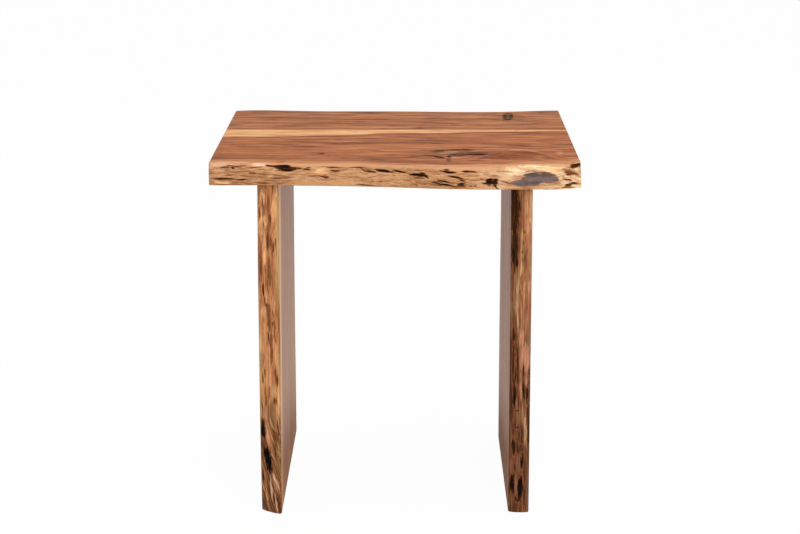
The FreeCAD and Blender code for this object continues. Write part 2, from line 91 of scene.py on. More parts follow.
# Hollows of a live edge: place along the grain, place across from the underside or the inner face,
# half length, half width, lean, depth, darkness.
TOP_FRONT_HOLLOWS = (
    (-279, 11.3, 18, 2.0, -1, 2.2, 1.00),
    (-250, 10.3, 12, 1.6, -1, 1.6, 0.92),
    (-278, 30.0, 8, 1.4, 0, 1.2, 0.74),
    (-266, 29.0, 4, 2.0, -20, 1.5, 0.84),
    (-232, 20.0, 8, 1.7, -4, 1.2, 0.66),
    (-217, 19.0, 14, 2.2, -3, 0.8, 0.50),
    (-273, 17.0, 8, 1.1, 0, 0.8, 0.54),
    (-245, 16.0, 14, 1.4, -4, 0.8, 0.48),
    (-218, 5.6, 16, 1.8, 0, 0.8, 0.50),
    (-248, 32.0, 8, 1.0, 0, 0.6, 0.46),
    (-181, 31.0, 20, 3.0, -2, 5.0, 1.12),
    (-179, 26.6, 13, 2.5, -6, 5.0, 1.10),
    (-166, 29.0, 6, 3.2, 0, 4.0, 0.92),
    (-203, 32.3, 8, 1.6, -8, 2.0, 0.82),
    (-157, 29.5, 6, 1.3, -5, 1.6, 0.82),
    (-143, 27.6, 7, 1.5, -5, 1.8, 0.78),
    (-142, 31.0, 5, 1.0, 0, 1.0, 0.64),
    (-119, 16.0, 13, 1.5, -15, 1.6, 0.74),
    (-113, 15.6, 7, 3.4, -10, 1.0, 0.52),
    (-100, 31.4, 14, 1.2, 0, 1.4, 0.66),
    (-97, 26.3, 8, 1.5, -3, 2.0, 0.84),
    (-67, 16.5, 13, 1.4, 0, 0.6, 0.44),
    (-53, 29.5, 6, 1.1, -35, 1.0, 0.60),
    (-43, 26.2, 11, 1.6, -3, 2.2, 0.84),
    (-45, 30.2, 5, 1.1, 0, 1.0, 0.64),
    (-17, 28.0, 16, 2.1, -6, 3.5, 1.08),
    (7, 27.9, 13, 1.7, -9, 2.4, 1.00),
    (-48, 3.0, 20, 1.1, -2, 1.0, 0.76),
    (-24, 9.5, 8, 1.2, 0, 1.0, 0.66),
    (-37, 9.5, 5, 1.0, 0, 0.8, 0.60),
    (37, 23.4, 14, 2.5, -3, 4.0, 1.12),
    (45, 26.4, 4, 2.0, 0, 2.5, 1.00),
    (50, 20.6, 5, 1.6, -28, 2.0, 1.00),
    (39, 18.5, 11, 3.2, -6, 0.6, 0.46),
    (81, 13.7, 14, 1.5, -10, 2.2, 1.10),
    (79, 8.3, 24, 1.6, -9, 2.2, 1.10),
    (87, 29.6, 12, 1.9, -7, 2.6, 1.12),
    (83, 33.6, 5, 1.1, 0, 1.2, 0.84),
    (101, 20.8, 13, 1.8, -10, 2.6, 1.12),
    (109, 15.4, 7, 1.6, -12, 1.6, 0.95),
    (108, 7.7, 7, 3.0, -10, 2.0, 1.00),
    (116, 30.3, 8, 2.1, -3, 1.6, 0.86),
    (124, 29.8, 12, 2.2, -3, 1.2, 0.62),
    (123, 6.3, 4, 1.1, 0, 0.8, 0.70),
    (131, 6.3, 3, 1.1, 0, 0.8, 0.70),
    (129, 16.2, 9, 1.0, -5, 0.6, 0.54),
    (141, 17.5, 3, 1.3, 0, 1.0, 0.72),
    (154, 13.4, 5.6, 6.0, 0, 4.0, 1.10),
    (163, 11.2, 5.8, 5.6, 0, 4.0, 1.12),
    (147, 10.6, 5, 1.2, -8, 1.6, 0.98),
    (166, 3.9, 5, 1.1, -39, 1.2, 0.96),
    (161, 21.8, 13, 3.2, -5, 0.5, 0.42),
    (180, 11.7, 10, 1.1, -17, 0.8, 0.70),
    (246, 25.6, 13, 1.0, -7, 0.8, 0.72),
    (295, 33.2, 12, 3.6, -4, 3.0, 1.08),
    (284, 24.4, 9, 3.8, -8, 1.6, 0.76),
    (293, 22.2, 7, 2.4, -14, 1.2, 0.70),
    (280, 14.8, 8, 1.5, -8, 1.0, 0.74),
    (282, 5.9, 8, 2.4, 0, 1.4, 0.78),
    (292, 8.4, 11, 2.6, -8, 1.2, 0.72),
)
LEFT_LEG_HOLLOWS = (
    (534, 16.5, 24, 3.6, 0, 0.8, 0.50),
    (510, 15.0, 15, 2.2, 0, 1.8, 0.72),
    (494, 16.4, 16, 3.6, 0, 0.8, 0.52),
    (475, 18.3, 17, 2.3, 0, 1.8, 0.70),
    (474, 13.9, 13, 1.6, 0, 1.6, 0.66),
    (463, 9.3, 12, 1.3, 0, 1.4, 0.64),
    (470, 5.7, 10, 1.0, 0, 1.2, 0.58),
    (428, 29.6, 22, 1.6, 0, 1.6, 0.70),
    (426, 17.1, 30, 3.0, 0, 1.0, 0.60),
    (521, 31.7, 12, 1.5, 0, 1.0, 0.52),
    (393, 26.4, 12, 1.6, 0, 3.0, 0.92),
    (401, 19.6, 8, 1.2, 0, 1.0, 0.58),
    (374, 24.2, 9, 1.5, 0, 1.0, 0.56),
    (366, 18.9, 4, 4.0, 0, 1.0, 0.55),
    (345, 17.5, 30, 4.0, 1, 0.8, 0.54),
    (334, 11.5, 6, 1.5, 0, 1.0, 0.60),
    (332, 2.6, 11, 1.3, 0, 1.0, 0.60),
    (314, 19.0, 13, 1.8, 2, 1.6, 0.70),
    (312, 14.7, 7, 1.5, 0, 1.2, 0.62),
    (302, 14.7, 20, 3.0, 0, 1.0, 0.56),
    (282, 13.7, 24, 2.6, 0, 1.0, 0.56),
    (249, 25.6, 11, 1.6, 0, 1.2, 0.64),
    (240, 29.4, 10, 1.4, 0, 1.4, 0.70),
    (245, 7.5, 16, 1.5, 0, 1.4, 0.66),
    (234, 4.9, 13, 1.4, 0, 1.2, 0.62),
    (218, 24.6, 12, 1.6, 0, 1.4, 0.64),
    (202, 24.4, 14, 1.7, 0, 1.4, 0.68),
    (216, 18.7, 13, 1.2, 0, 1.0, 0.58),
    (201, 10.1, 6, 1.3, 0, 1.6, 0.76),
    (200, 6.6, 9, 1.2, 0, 1.2, 0.66),
    (148, 29.6, 21, 3.4, 3, 6.0, 1.12),
    (97, 22.7, 25, 6.2, 10, 9.0, 1.25),
    (112, 10.3, 16, 2.0, 8, 1.6, 0.68),
    (64, 31.6, 12, 1.9, 0, 2.0, 0.84),
    (37, 22.3, 9, 1.7, 8, 1.4, 0.66),
    (27, 13.6, 11, 1.7, 8, 1.6, 0.74),
    (9, 13.4, 6, 2.7, 0, 1.0, 0.62),
)
RIGHT_LEG_HOLLOWS = (
    (525, 5.0, 66, 10.5, 0, 6.0, 0.90),
    (464, 6.0, 42, 8.5, 1, 5.0, 0.90),
    (510, 15.0, 54, 3.0, 0, 1.5, 0.52),
    (448, 5.2, 15, 1.7, 0, 3.0, 1.15),
    (438, 10.4, 17, 2.0, 0, 3.0, 1.15),
    (490, 22.0, 3, 1.2, 0, 1.0, 0.80),
    (471, 20.8, 3, 1.2, 0, 1.0, 0.80),
    (456, 18.7, 3, 1.3, 0, 1.0, 0.80),
    (400, 3.0, 40, 2.4, 0, 1.0, 0.66),
    (337, 7.0, 22, 3.4, 0, 1.2, 0.72),
    (313, 5.8, 18, 2.9, 0, 2.4, 1.05),
    (293, 8.8, 10, 4.8, 0, 1.2, 0.78),
    (266, 5.2, 42, 2.3, 0, 2.0, 1.00),
    (270, 13.0, 38, 1.9, -4, 1.8, 0.98),
    (240, 9.0, 34, 1.5, 2, 1.6, 0.90),
    (242, 13.6, 13, 1.9, 0, 1.6, 0.92),
    (251, 23.2, 16, 2.3, 0, 1.8, 0.84),
    (219, 23.4, 27, 2.5, -1, 2.2, 1.02),
    (247, 33.2, 13, 2.0, 0, 1.4, 0.82),
    (212, 29.7, 14, 2.1, 0, 2.4, 1.08),
    (206, 8.2, 26, 3.3, 0, 2.6, 1.08),
    (200, 15.4, 17, 2.1, 0, 1.2, 0.74),
    (215, 12.5, 17, 2.1, 0, 1.2, 0.76),
    (176, 32.0, 22, 3.4, 0, 1.6, 0.86),
    (158, 32.6, 24, 1.9, 0, 1.6, 1.00),
    (136, 32.8, 22, 1.8, 0, 1.4, 0.98),
    (183, 12.0, 1.6, 7.0, 0, 1.2, 0.90),
    (153, 11.6, 1.5, 10.0, 0, 1.4, 1.00),
    (119, 8.2, 19, 4.1, 0, 4.0, 1.04),
    (117, 14.3, 10, 1.2, 0, 1.4, 0.86),
    (119, 18.6, 14, 2.0, 0, 1.6, 0.90),
    (128, 23.5, 4, 1.4, 0, 1.0, 0.78),
    (92, 22.3, 17, 3.0, 0, 3.5, 1.02),
    (82, 10.0, 11, 2.0, 0, 1.4, 0.86),
    (52, 6.0, 21, 4.2, 0, 5.0, 1.15),
    (45, 19.6, 25, 5.2, 0, 6.0, 1.25),
    (24, 13.0, 6, 2.6, -8, 1.6, 0.98),
    (22, 16.3, 5, 1.9, 0, 1.4, 0.88),
)
# Scattered with a fixed seed: hollows on each edge that faces away, and slight ones on every live edge.
# A pair is the least and the most.
HIDDEN_HOLLOWS = {
    "count": 16, "half_lengths": (8, 44), "half_widths": (1.2, 5.5), "darkness": (0.45, 1.0)}
SMALL_HOLLOWS = {
    "count": 44, "half_lengths": (4, 22), "half_widths": (0.5, 1.3), "darkness": (0.3, 0.7)}
SCATTER_ACROSS = (0.06, 0.94)           # shares of the thickness
SCATTER_LEAN = (-9, 9)
SCATTER_DEPTH = (0.8, 1.5)              # shares of the half width

# Smooth grey-violet bark left on a live edge:
# place along, place across, half length, half width, lean.
TOP_FRONT_BARK = (
    (213, 10.0, 25, 5.2, 0),
    (227, 17.0, 18, 10.0, 0),
    (250, 18.0, 17, 7.5, -6),
)
# Where the upper arris of the top is worn rounder: place along, half length, extra radius
TOP_FRONT_WANE = (-250, 54, 3.0)
NO_WANE = (0, 1, 0)

# Colours, linear
HEART_DARK = (0.120, 0.038, 0.016, 1)
TOP_FRONT_HEART = (HEART_DARK, (0.285, 0.086, 0.029, 1), (0.430, 0.138, 0.047, 1), (0.595, 0.232, 0.095, 1))
TOP_BACK_HEART = (HEART_DARK, (0.285, 0.093, 0.034, 1), (0.425, 0.150, 0.055, 1), (0.590, 0.250, 0.110, 1))
LEG_HEART = (HEART_DARK, (0.290, 0.110, 0.041, 1), (0.440, 0.188, 0.075, 1), (0.600, 0.310, 0.140, 1))
SAP_DEEP = (0.430, 0.195, 0.080, 1)
SAP_TAN = (0.680, 0.305, 0.120, 1)
SAP_GOLD = (0.860, 0.415, 0.168, 1)
SAP_CREAM = (0.860, 0.600, 0.350, 1)
SAP_END = (0.740, 0.490, 0.285, 1)
HOLLOW_BLACK = (0.012, 0.007, 0.005, 1)
HOLLOW_DARK = (0.060, 0.022, 0.010, 1)
HOLLOW_BROWN = (0.190, 0.066, 0.026, 1)
KNOT_OLIVE = (0.160, 0.105, 0.048, 1)
BARK_GREY = (0.150, 0.092, 0.078, 1)
BARK_DARK = (0.068, 0.042, 0.038, 1)
BARK_RED = (0.185, 0.088, 0.062, 1)
# Darkens the live edges of the legs towards the floor
DARKER_BELOW_TINT = (0.210, 0.145, 0.105, 1)
# Painted shade low on the legs' faces, towards the floor
FOOT_SHADE_TINT = (0.660, 0.570, 0.500, 1)
CRACK_BROWN = (0.205, 0.078, 0.043, 1)
CRACK_GREY = (0.380, 0.225, 0.115, 1)
EYE_RED = (0.255, 0.074, 0.034, 1)
EYE_PALE = (0.600, 0.255, 0.145, 1)
# Colours of single patches on the live edges
SANDED_PEACH = (0.570, 0.275, 0.135, 1)
# Painted highlight along the rounded upper arris at the left of the top
ARRIS_HIGHLIGHT_PALE = (0.850, 0.490, 0.320, 1)
CREAM = (0.820, 0.600, 0.345, 1)
HONEY = (0.830, 0.480, 0.200, 1)
PEACH = (0.700, 0.360, 0.155, 1)
TAN = (0.520, 0.255, 0.115, 1)
STRAW = (0.520, 0.325, 0.145, 1)
OLIVE_TAN = (0.480, 0.300, 0.140, 1)
OLIVE_GREY = (0.262, 0.160, 0.080, 1)
OLIVE_DARK = (0.165, 0.080, 0.026, 1)
PINK_BROWN = (0.460, 0.200, 0.112, 1)
PALE_SPLINTER = (0.640, 0.380, 0.240, 1)
RED_BROWN = (0.330, 0.105, 0.048, 1)
RED_DARK = (0.115, 0.036, 0.014, 1)
# Deep, middle, pale and margin colours of the live edges
TOP_EDGE_TONES = (
    (0.200, 0.077, 0.027, 1), (0.400, 0.186, 0.076, 1), (0.560, 0.312, 0.147, 1), (0.480, 0.240, 0.102, 1))
LEFT_LEG_TONES = (
    (0.195, 0.066, 0.024, 1), (0.430, 0.168, 0.063, 1), (0.620, 0.310, 0.136, 1), (0.460, 0.265, 0.105, 1))
RIGHT_LEG_TONES = (
    (0.100, 0.031, 0.012, 1), (0.270, 0.102, 0.042, 1), (0.425, 0.202, 0.096, 1), (0.325, 0.174, 0.074, 1))

# Tinted patches of the live edges: a colour and its patches, laid out as the bark is
TOP_FRONT_TINTS = (
    # painted highlight along the upper arris at the left end
    (ARRIS_HIGHLIGHT_PALE, ((-280, 35.4, 20, 3.2, 0), (-250, 36.6, 16, 2.0, 0), (-224, 34.9, 14, 3.0, 0))),
    (CREAM, ((194, 27.0, 13, 6.0, 0), (232, 33.0, 40, 2.2, -2))),
    (HONEY, ((-280, 4.9, 14, 1.8, 0), (262, 29.0, 16, 4.0, 0))),
    (PEACH, ((-119, 24.3, 9, 4.5, 0),)),
    (PINK_BROWN, ((34, 27.3, 8, 1.8, 0), (200, 20.5, 9, 2.5, -6))),
)
LEFT_LEG_TINTS = (
    (PEACH, (
        (549, 25.6, 15, 3.8, 0), (525, 7.9, 20, 3.8, 0), (502, 28.5, 32, 4.0, 0), (456, 24.5, 20, 3.6, 0),
        (355, 27.9, 10, 3.7, 0), (188, 3.2, 28, 1.6, 0))),
    (HONEY, ((510, 23.0, 11, 2.2, 0), (554, 3.7, 8, 1.7, 0))),
    (STRAW, (
        (396, 3.0, 11, 1.2, 0), (220, 12.6, 15, 3.0, 0), (163, 16.6, 10, 1.7, 11), (106, 15.6, 7, 1.0, 30))),
    (OLIVE_TAN, ((420, 2.3, 62, 2.8, 0), (300, 31.5, 12, 2.0, 0), (490, 27.5, 10, 2.0, 0))),
    (OLIVE_GREY, ((552, 32.0, 17, 2.0, 0), (270, 30.8, 19, 2.4, 0))),
    (OLIVE_DARK, ((176, 14.4, 27, 6.4, 0), (92, 7.5, 36, 4.6, 6))),
    (PINK_BROWN, ((177, 24.0, 13, 2.6, 0), (136, 22.1, 13, 2.8, 4), (58, 25.6, 15, 1.7, 11))),
    (PALE_SPLINTER, (
        (76, 22.6, 9, 1.2, 26), (67, 12.6, 10, 1.6, 23), (43, 16.4, 22, 1.4, 7), (21, 9.0, 19, 1.4, 7),
        (54, 6.0, 9, 1.4, 20))),
)
RIGHT_LEG_TINTS = (
    (TAN, ((537, 27.4, 20, 7.0, 0), (502, 28.4, 15, 6.0, 0))),
    (STRAW, (
        (428, 17.5, 16, 2.2, 8), (396, 12.0, 22, 1.8, 7), (364, 9.8, 18, 1.6, 2), (333, 13.0, 20, 1.6, -6),
        (470, 17.5, 24, 1.2, 0))),
    (PINK_BROWN, (
        (398, 31.2, 12, 3.4, 0), (308, 19.2, 13, 4.5, 0), (270, 25.3, 26, 8.0, 0), (215, 19.4, 18, 2.6, 0),
        (234, 27.8, 12, 2.2, 0), (90, 17.7, 17, 1.8, 0), (51, 12.7, 16, 1.7, -3))),
    (OLIVE_TAN, ((148, 27.5, 24, 2.2, 0),)),
    (OLIVE_GREY, ((392, 6.5, 56, 5.5, 0), (266, 9.3, 8, 1.9, 0))),
    (OLIVE_DARK, ((169, 16.2, 13, 6.0, 0), (500, 13.5, 50, 2.0, 0), (460, 19.5, 15, 3.2, 0))),
    (RED_BROWN, ((480, 31.0, 10, 3.0, 0), (361, 30.8, 18, 4.2, 0), (90, 4.7, 17, 2.4, 0))),
    (RED_DARK, (
        (168, 6.9, 11, 4.4, 0), (62, 17.0, 76, 15.0, 0), (100, 9.0, 70, 8.0, 0), (245, 9.0, 64, 8.0, 0))),
)


class Graph:
    """Adds nodes to a tree; each call sets or links the inputs of its node."""

    COLOUR_FIRST, COLOUR_SECOND, COLOUR_OUT = 6, 7, 2     # sockets of a Mix node that mixes colours

    def __init__(self, tree):
        self.tree = tree

    def link(self, value, socket):
        self.tree.links.new(value, socket)

    def node(self, kind, inputs=(), **settings):
        made = self.tree.nodes.new(kind)
        for setting, value in settings.items():
            setattr(made, setting, value)
        for key, value in dict(inputs).items():
            if isinstance(value, bpy.types.NodeSocket):
                self.link(value, made.inputs[key])
            else:
                made.inputs[key].default_value = value
        return made

    def math(self, operation, first, second=0.0, clamp=False):
        settings = {"operation": operation, "use_clamp": clamp}
        return self.node("ShaderNodeMath", {0: first, 1: second}, **settings).outputs[0]

    def plus(self, first, second):
        return self.math("ADD", first, second)

    def minus(self, first, second):
        return self.math("SUBTRACT", first, second)

    def times(self, first, second):
        return self.math("MULTIPLY", first, second)

    def larger(self, first, second):
        return self.math("MAXIMUM", first, second)

    def vector(self, operation, first, second=(0, 0, 0)):
        return self.node("ShaderNodeVectorMath", {0: first, 1: second}, operation=operation)

    def stretched(self, vector, factors):
        return self.vector("MULTIPLY", vector, factors).outputs["Vector"]

    def length(self, vector):
        return self.vector("LENGTH", vector).outputs["Value"]

    def object_place(self):
        return self.node("ShaderNodeTexCoord").outputs["Object"]

    def part_of(self, vector, axis):
        return self.node("ShaderNodeSeparateXYZ", {"Vector": vector}).outputs[axis]

    def noise(self, vector, detail=2.0, roughness=0.5, distortion=0.0):
        inputs = {"Vector": vector, "Scale": 1.0, "Detail": detail,
                  "Roughness": roughness, "Distortion": distortion}
        return self.node("ShaderNodeTexNoise", inputs).outputs["Fac"]

    def grain(self, vector, per_metre, run=1.0, **settings):
        """Noise drawn out along the grain; run scales how often it changes that way."""
        along, across = per_metre
        return self.noise(self.stretched(vector, (along * run, across, across)), **settings)

    def speckle(self, per_metre, **settings):
        """Noise that changes equally often in all directions."""
        return self.noise(self.stretched(self.object_place(), (per_metre,) * 3), **settings)

    def mixture(self, base, shares):
        """A base value, plus how far each noise strays from its mean of 0.5 times the weight given."""
        total = base
        for value, weight in shares:
            total = self.plus(total, self.times(self.minus(value, 0.5), weight))
        return total

    def fade(self, value, start, end):
        """0 at start, 1 at end, smooth between them."""
        inputs = {"Value": value, "From Min": start, "From Max": end}
        return self.node("ShaderNodeMapRange", inputs, interpolation_type="SMOOTHSTEP").outputs["Result"]

    def blend(self, share, first, second, blend_type="MIX"):
        inputs = {0: share, self.COLOUR_FIRST: first, self.COLOUR_SECOND: second}
        made = self.node("ShaderNodeMix", inputs, data_type="RGBA", blend_type=blend_type)
        return made.outputs[self.COLOUR_OUT]

    def ramp(self, value, places, colours):
        made = self.node("ShaderNodeValToRGB", {"Fac": value})
        elements = made.color_ramp.elements
        while len(elements) < len(places):
            elements.new(1.0)
        for element, place, colour in zip(elements, places, colours):
            element.position = place
            element.color = colour
        return made.outputs["Color"]

    def attribute(self, name):
        return self.node("ShaderNodeAttribute", attribute_name=name).outputs["Fac"]

    def bump(self, surface, height, strength, distance):
        inputs = {"Height": height, "Strength": strength, "Distance": distance}
        self.link(self.node("ShaderNodeBump", inputs).outputs["Normal"], surface.inputs["Normal"])


def new_material(name):
    """Material with an empty Principled surface; returns it, its graph and the surface."""
    material = bpy.data.materials.new(name)
    material.use_nodes = True
    material.node_tree.nodes.clear()
    graph = Graph(material.node_tree)
    surface = graph.node("ShaderNodeBsdfPrincipled")
    graph.node("ShaderNodeOutputMaterial", {"Surface": surface.outputs["BSDF"]})
    return material, graph, surface


# Wood

TOP_GRAIN = (0.0, 0.0, 0.0)
LEG_GRAIN = (0.0, math.pi / 2, 0.0)     # turns a leg's Z onto the pattern's X

# Noises: how often each changes in a metre, along and across the grain
WANDER = (2.2, 13)
RIPPLE = (11, 60)
WIDE_STREAKS = (10, 70)
STREAKS = (12, 130)
DASHES = (19, 66)
FIBRES = (26, 900)
PORES = (60, 1150)
CRACKLE = (70, 140)
SMUDGE = (6, 40)
MOTTLE = (18, 95)
THREADS = (24, 330)
FUZZ = (70, 620)
BARK_MOTTLE = (45, 110)

# Growth rings
WANDER_REACH = 30 * MM        # how far two of the noises push the rings
RIPPLE_REACH = 9 * MM
LATE_WOOD_BEGINS = (0.35, 0.9)     # shares of a ring over which it darkens, and over which that ends
LATE_WOOD_ENDS = (1.0, 0.92)
BANDS_PER_RING = 0.60         # slow bands of colour over several rings
LATE_WOOD_DARKNESS = 0.12
EYE_DARKNESS = 2.2            # how much darker late wood is for each metre that an eye swells

# Broad faces. A pair is the values of a noise or a place between which something fades in.
DASH_FADE = (0.60, 0.68)
DASH_DARKNESS = 0.30
PORE_FADE = (0.62, 0.72)
PORE_DARKNESS = 0.30
END_GRAIN_DEPTHS = (1.2 * MM, 0.4 * MM)
END_GRAIN_LEVEL = 0.46
END_GRAIN_DARKNESS = 0.30
HEART_STOPS = (0.10, 0.34, 0.54, 0.86)
SAP_STOPS = (0.08, 0.28, 0.48, 0.82)
SAP_TONES = (SAP_DEEP, SAP_TAN, SAP_GOLD, SAP_CREAM)
SAP_RIM_SHARPNESS = 0.8
SPOT_FADE = (1.25, 0.5)
MARK_SHADE = (1.2, 0.4)       # how the grain shows through a mark: share of its tone, and brightness added
STRIP_FADE = (-1.5 * MM, 2.5 * MM)
STRIP_WAVINESS = 16 * MM

# Live edge
EDGE_STOPS = (0.08, 0.42, 0.78)
# Painted shade in the valleys between the carved ridges
VALLEY_PAINTED_SHADE = 0.16
PATCHY_FADE = (0.36, 0.60)
MARGIN_FADE = (0.22, 0.44)
MARGIN_STRENGTH = 0.7
DARKER_BELOW_FADE = (1.05, 0.25)
SANDED_FADE = (0.80, 0.90)
SANDED_STRENGTH = 0.85
TINT_FADE = (0.10, 0.90)
TINT_STRENGTH = 0.75
TINT_SHADE = (1.1, 0.45)
THREAD_FADE = (0.57, 0.70)
THREAD_STRENGTH = 0.5
BARK_FADE = (0.32, 0.56)
BARK_RIM_FADE = (0.85, 0.50)
BARK_BLOTCH_FADE = (0.34, 0.62)
HOLLOW_LAYERS = ((0.18, 0.62, HOLLOW_BROWN), (0.52, 0.88, HOLLOW_DARK), (0.90, 1.15, HOLLOW_BLACK))
EDGE_DEPTH_FADE = (4.5 * MM, 1.5 * MM)
EDGE_DEPTH_WAVINESS = 10 * MM
HOLLOW_OVER_FACE_FADE = (0.35, 0.60)

# Finish of the wood
SMOOTHEST, STREAK_ROUGHNESS, HOLLOW_ROUGHNESS = 0.42, 0.20, 0.35
HOLLOW_FINISH_FADE = (0.2, 0.6)
FIBRE_HEIGHT, PORE_DEPTH = 0.5, 0.6
GRAIN_BUMP = (0.25, 0.6 * MM)


def eye_lift(graph, place, eyes):
    """Swellings of the growth rings, which a sawn face shows as closed eyes."""
    total = 0.0
    for along, across, half_length, half_width, lift in eyes:
        away = graph.vector("SUBTRACT", place, (along * MM, across * MM, 0)).outputs["Vector"]
        reach = graph.length(graph.stretched(away, (1 / (half_length * MM), 1 / (half_width * MM), 0)))
        falling = graph.math("EXPONENT", graph.times(graph.times(reach, reach), -1.0))
        total = graph.plus(total, graph.times(falling, lift * MM))
    return total


def spot_share(graph, place, spots, fraying):
    """1 inside any of the given leaning ellipses of a broad face, with their outlines frayed."""
    total = 0.0
    for along, across, half_length, half_width, lean in spots:
        inputs = {
            "Vector": place,
            "Location": (along * MM, across * MM, 0),
            "Rotation": (0, 0, math.radians(lean)),
            "Scale": (half_length * MM, half_width * MM, 1),
        }
        away = graph.node("ShaderNodeMapping", inputs, vector_type="TEXTURE").outputs["Vector"]
        reach = graph.length(graph.stretched(away, (1, 1, 0)))
        total = graph.larger(total, graph.fade(graph.plus(reach, fraying), *SPOT_FADE))
    return total


def strip_share(graph, place, ripple, strip):
    """1 in a strip of sapwood along a glue line; its width follows a curve from left to right."""
    glue_line, half_length, widest, widths = strip
    travel = graph.plus(graph.times(graph.part_of(place, "X"), 0.5 / half_length), 0.5)
    curve = graph.node("ShaderNodeFloatCurve", {"Value": travel})
    points = curve.mapping.curves[0].points
    while len(points) < len(widths):
        points.new(0.5, 0.5)
    for point, (share, width) in zip(points, widths):
        point.location = (share, width * MM / widest)
    curve.mapping.update()
    width = graph.mixture(graph.times(curve.outputs["Value"], widest), ((ripple, STRIP_WAVINESS),))
    from_glue = graph.minus(glue_line, graph.part_of(place, "Y"))
    return graph.fade(graph.minus(width, from_glue), *STRIP_FADE)


def growth_rings(graph, place, wander, ripple, lift, pith, ring_width):
    """Late wood of the growth rings, and bands over several of them, round a pith along the grain."""
    from_pith = graph.vector("SUBTRACT", place, (0, *pith)).outputs["Vector"]
    radius = graph.length(graph.stretched(from_pith, (0, 1, 1)))
    radius = graph.plus(radius, graph.times(wander, WANDER_REACH))
    radius = graph.plus(radius, graph.times(ripple, RIPPLE_REACH))
    ring_place = graph.math("DIVIDE", graph.plus(radius, lift), ring_width)
    ring = graph.math("FRACT", ring_place)
    late_wood = graph.times(graph.fade(ring, *LATE_WOOD_BEGINS), graph.fade(ring, *LATE_WOOD_ENDS))
    band_place = graph.node("ShaderNodeCombineXYZ", {"X": ring_place}).outputs["Vector"]
    bands = graph.noise(graph.stretched(band_place, (BANDS_PER_RING, 1, 1)))
    return late_wood, bands


def broad_face(graph, place, moved, tones, pith, ring_width, figure=1.0, level=0.55, run=1.0,
               eyes=(), marks=(), sap_strip=None, sap_rim=None, foot_shade=None, sawn_end=None):
    """Colour of a board's sawn faces, the share of flaws and painted foot shade in it, and its streaks,
    fibres and pores.

    tones are the colours from dark to pale, figure their contrast and level their lightness;
    pith is the (across, through) place of the ring centre;
    run is how soon the streaks change along the grain;
    marks are knots, cracks and smudges: a colour, its strength and its spots;
    sap_rim is how far pale sapwood reaches in from the live edge, and its strength;
    foot_shade is painted shade towards the foot of a leg: where the faces begin to darken, where they are
    darkest, the slope of that line and its strength;
    sawn_end is how far along the board its sawn ends are, where the growth rings show end on.
    """
    along = graph.part_of(place, "X")
    wander = graph.grain(moved, WANDER, detail=3.0)
    ripple = graph.grain(moved, RIPPLE)
    wide_streaks = graph.grain(moved, WIDE_STREAKS, run, detail=4.0, roughness=0.6)
    streaks = graph.grain(moved, STREAKS, run, detail=4.0, roughness=0.62)
    dashes = graph.fade(graph.grain(moved, DASHES, run, detail=4.0, roughness=0.6), *DASH_FADE)
    fibres = graph.grain(moved, FIBRES, detail=3.0, roughness=0.6)
    pores = graph.fade(graph.grain(moved, PORES, detail=1.0), *PORE_FADE)
    lift = eye_lift(graph, place, eyes)
    late_wood, bands = growth_rings(graph, place, wander, ripple, lift, pith, ring_width)

    tone = graph.mixture(level, (
        (bands, 0.6 * figure), (wide_streaks, 0.8 * figure), (streaks, 1.7), (fibres, 0.8)))
    line_darkness = graph.plus(graph.times(lift, EYE_DARKNESS), LATE_WOOD_DARKNESS)
    tone = graph.minus(tone, graph.times(late_wood, line_darkness))
    tone = graph.minus(tone, graph.times(dashes, DASH_DARKNESS * figure))
    if sawn_end:
        end_begins, end_full = (sawn_end - depth for depth in END_GRAIN_DEPTHS)
        end_share = graph.fade(graph.math("ABSOLUTE", along), end_begins, end_full)
        end_tone = graph.mixture(END_GRAIN_LEVEL, ((bands, 1.1), (wide_streaks, 0.5), (fibres, 0.7)))
        end_tone = graph.minus(end_tone, graph.times(late_wood, END_GRAIN_DARKNESS))
        tone = graph.plus(tone, graph.times(end_share, graph.minus(end_tone, tone)))

    colour = graph.ramp(tone, HEART_STOPS, tones)
    sapwood = graph.ramp(tone, SAP_STOPS, SAP_TONES)
    if sap_strip:
        colour = graph.blend(strip_share(graph, place, ripple, sap_strip), colour, sapwood)
    if sap_rim:
        rim_depth, strength = sap_rim
        wavy_depth = graph.mixture(graph.attribute("bark_depth"), ((wander, rim_depth),))
        rim_share = graph.times(graph.fade(wavy_depth, rim_depth, rim_depth * SAP_RIM_SHARPNESS), strength)
        colour = graph.blend(rim_share, colour, sapwood)
    colour = graph.blend(graph.times(pores, PORE_DARKNESS), colour, HEART_DARK)

    crackle = graph.grain(moved, CRACKLE, detail=3.0, roughness=0.7, distortion=0.6)
    fraying = graph.mixture(0.0, ((crackle, 2.2), (streaks, 1.2), (fibres, 1.2)))
    shade_share, shade_added = MARK_SHADE
    mark_shade = graph.plus(graph.times(tone, shade_share), shade_added)
    flaw_and_shade_share = 0.0
    for mark_colour, strength, spots in marks:
        mark_share = graph.times(spot_share(graph, place, spots, fraying), strength)
        colour = graph.blend(mark_share, colour, graph.blend(1.0, mark_colour, mark_shade, "MULTIPLY"))
        flaw_and_shade_share = graph.larger(flaw_and_shade_share, mark_share)
    # Painted shade: the faces darken and lose their gloss towards the foot of a leg
    if foot_shade:
        begins, darkest, slope, strength = foot_shade
        foot_place = graph.plus(along, graph.times(graph.part_of(place, "Y"), slope))
        foot_shade_share = graph.times(graph.fade(foot_place, begins, darkest), strength)
        colour = graph.blend(foot_shade_share, colour, FOOT_SHADE_TINT, "MULTIPLY")
        flaw_and_shade_share = graph.larger(flaw_and_shade_share, foot_shade_share)
    return colour, flaw_and_shade_share, streaks, fibres, pores


def leaning(graph, place, moved, below, slope):
    """Pattern places sheared so that the grain leans below a place along the board."""
    past = graph.math("MINIMUM", graph.minus(graph.part_of(place, "X"), below), 0.0)
    shear = graph.node("ShaderNodeCombineXYZ", {"Z": graph.times(past, -slope)}).outputs["Vector"]
    return graph.vector("ADD", moved, shear).outputs["Vector"]


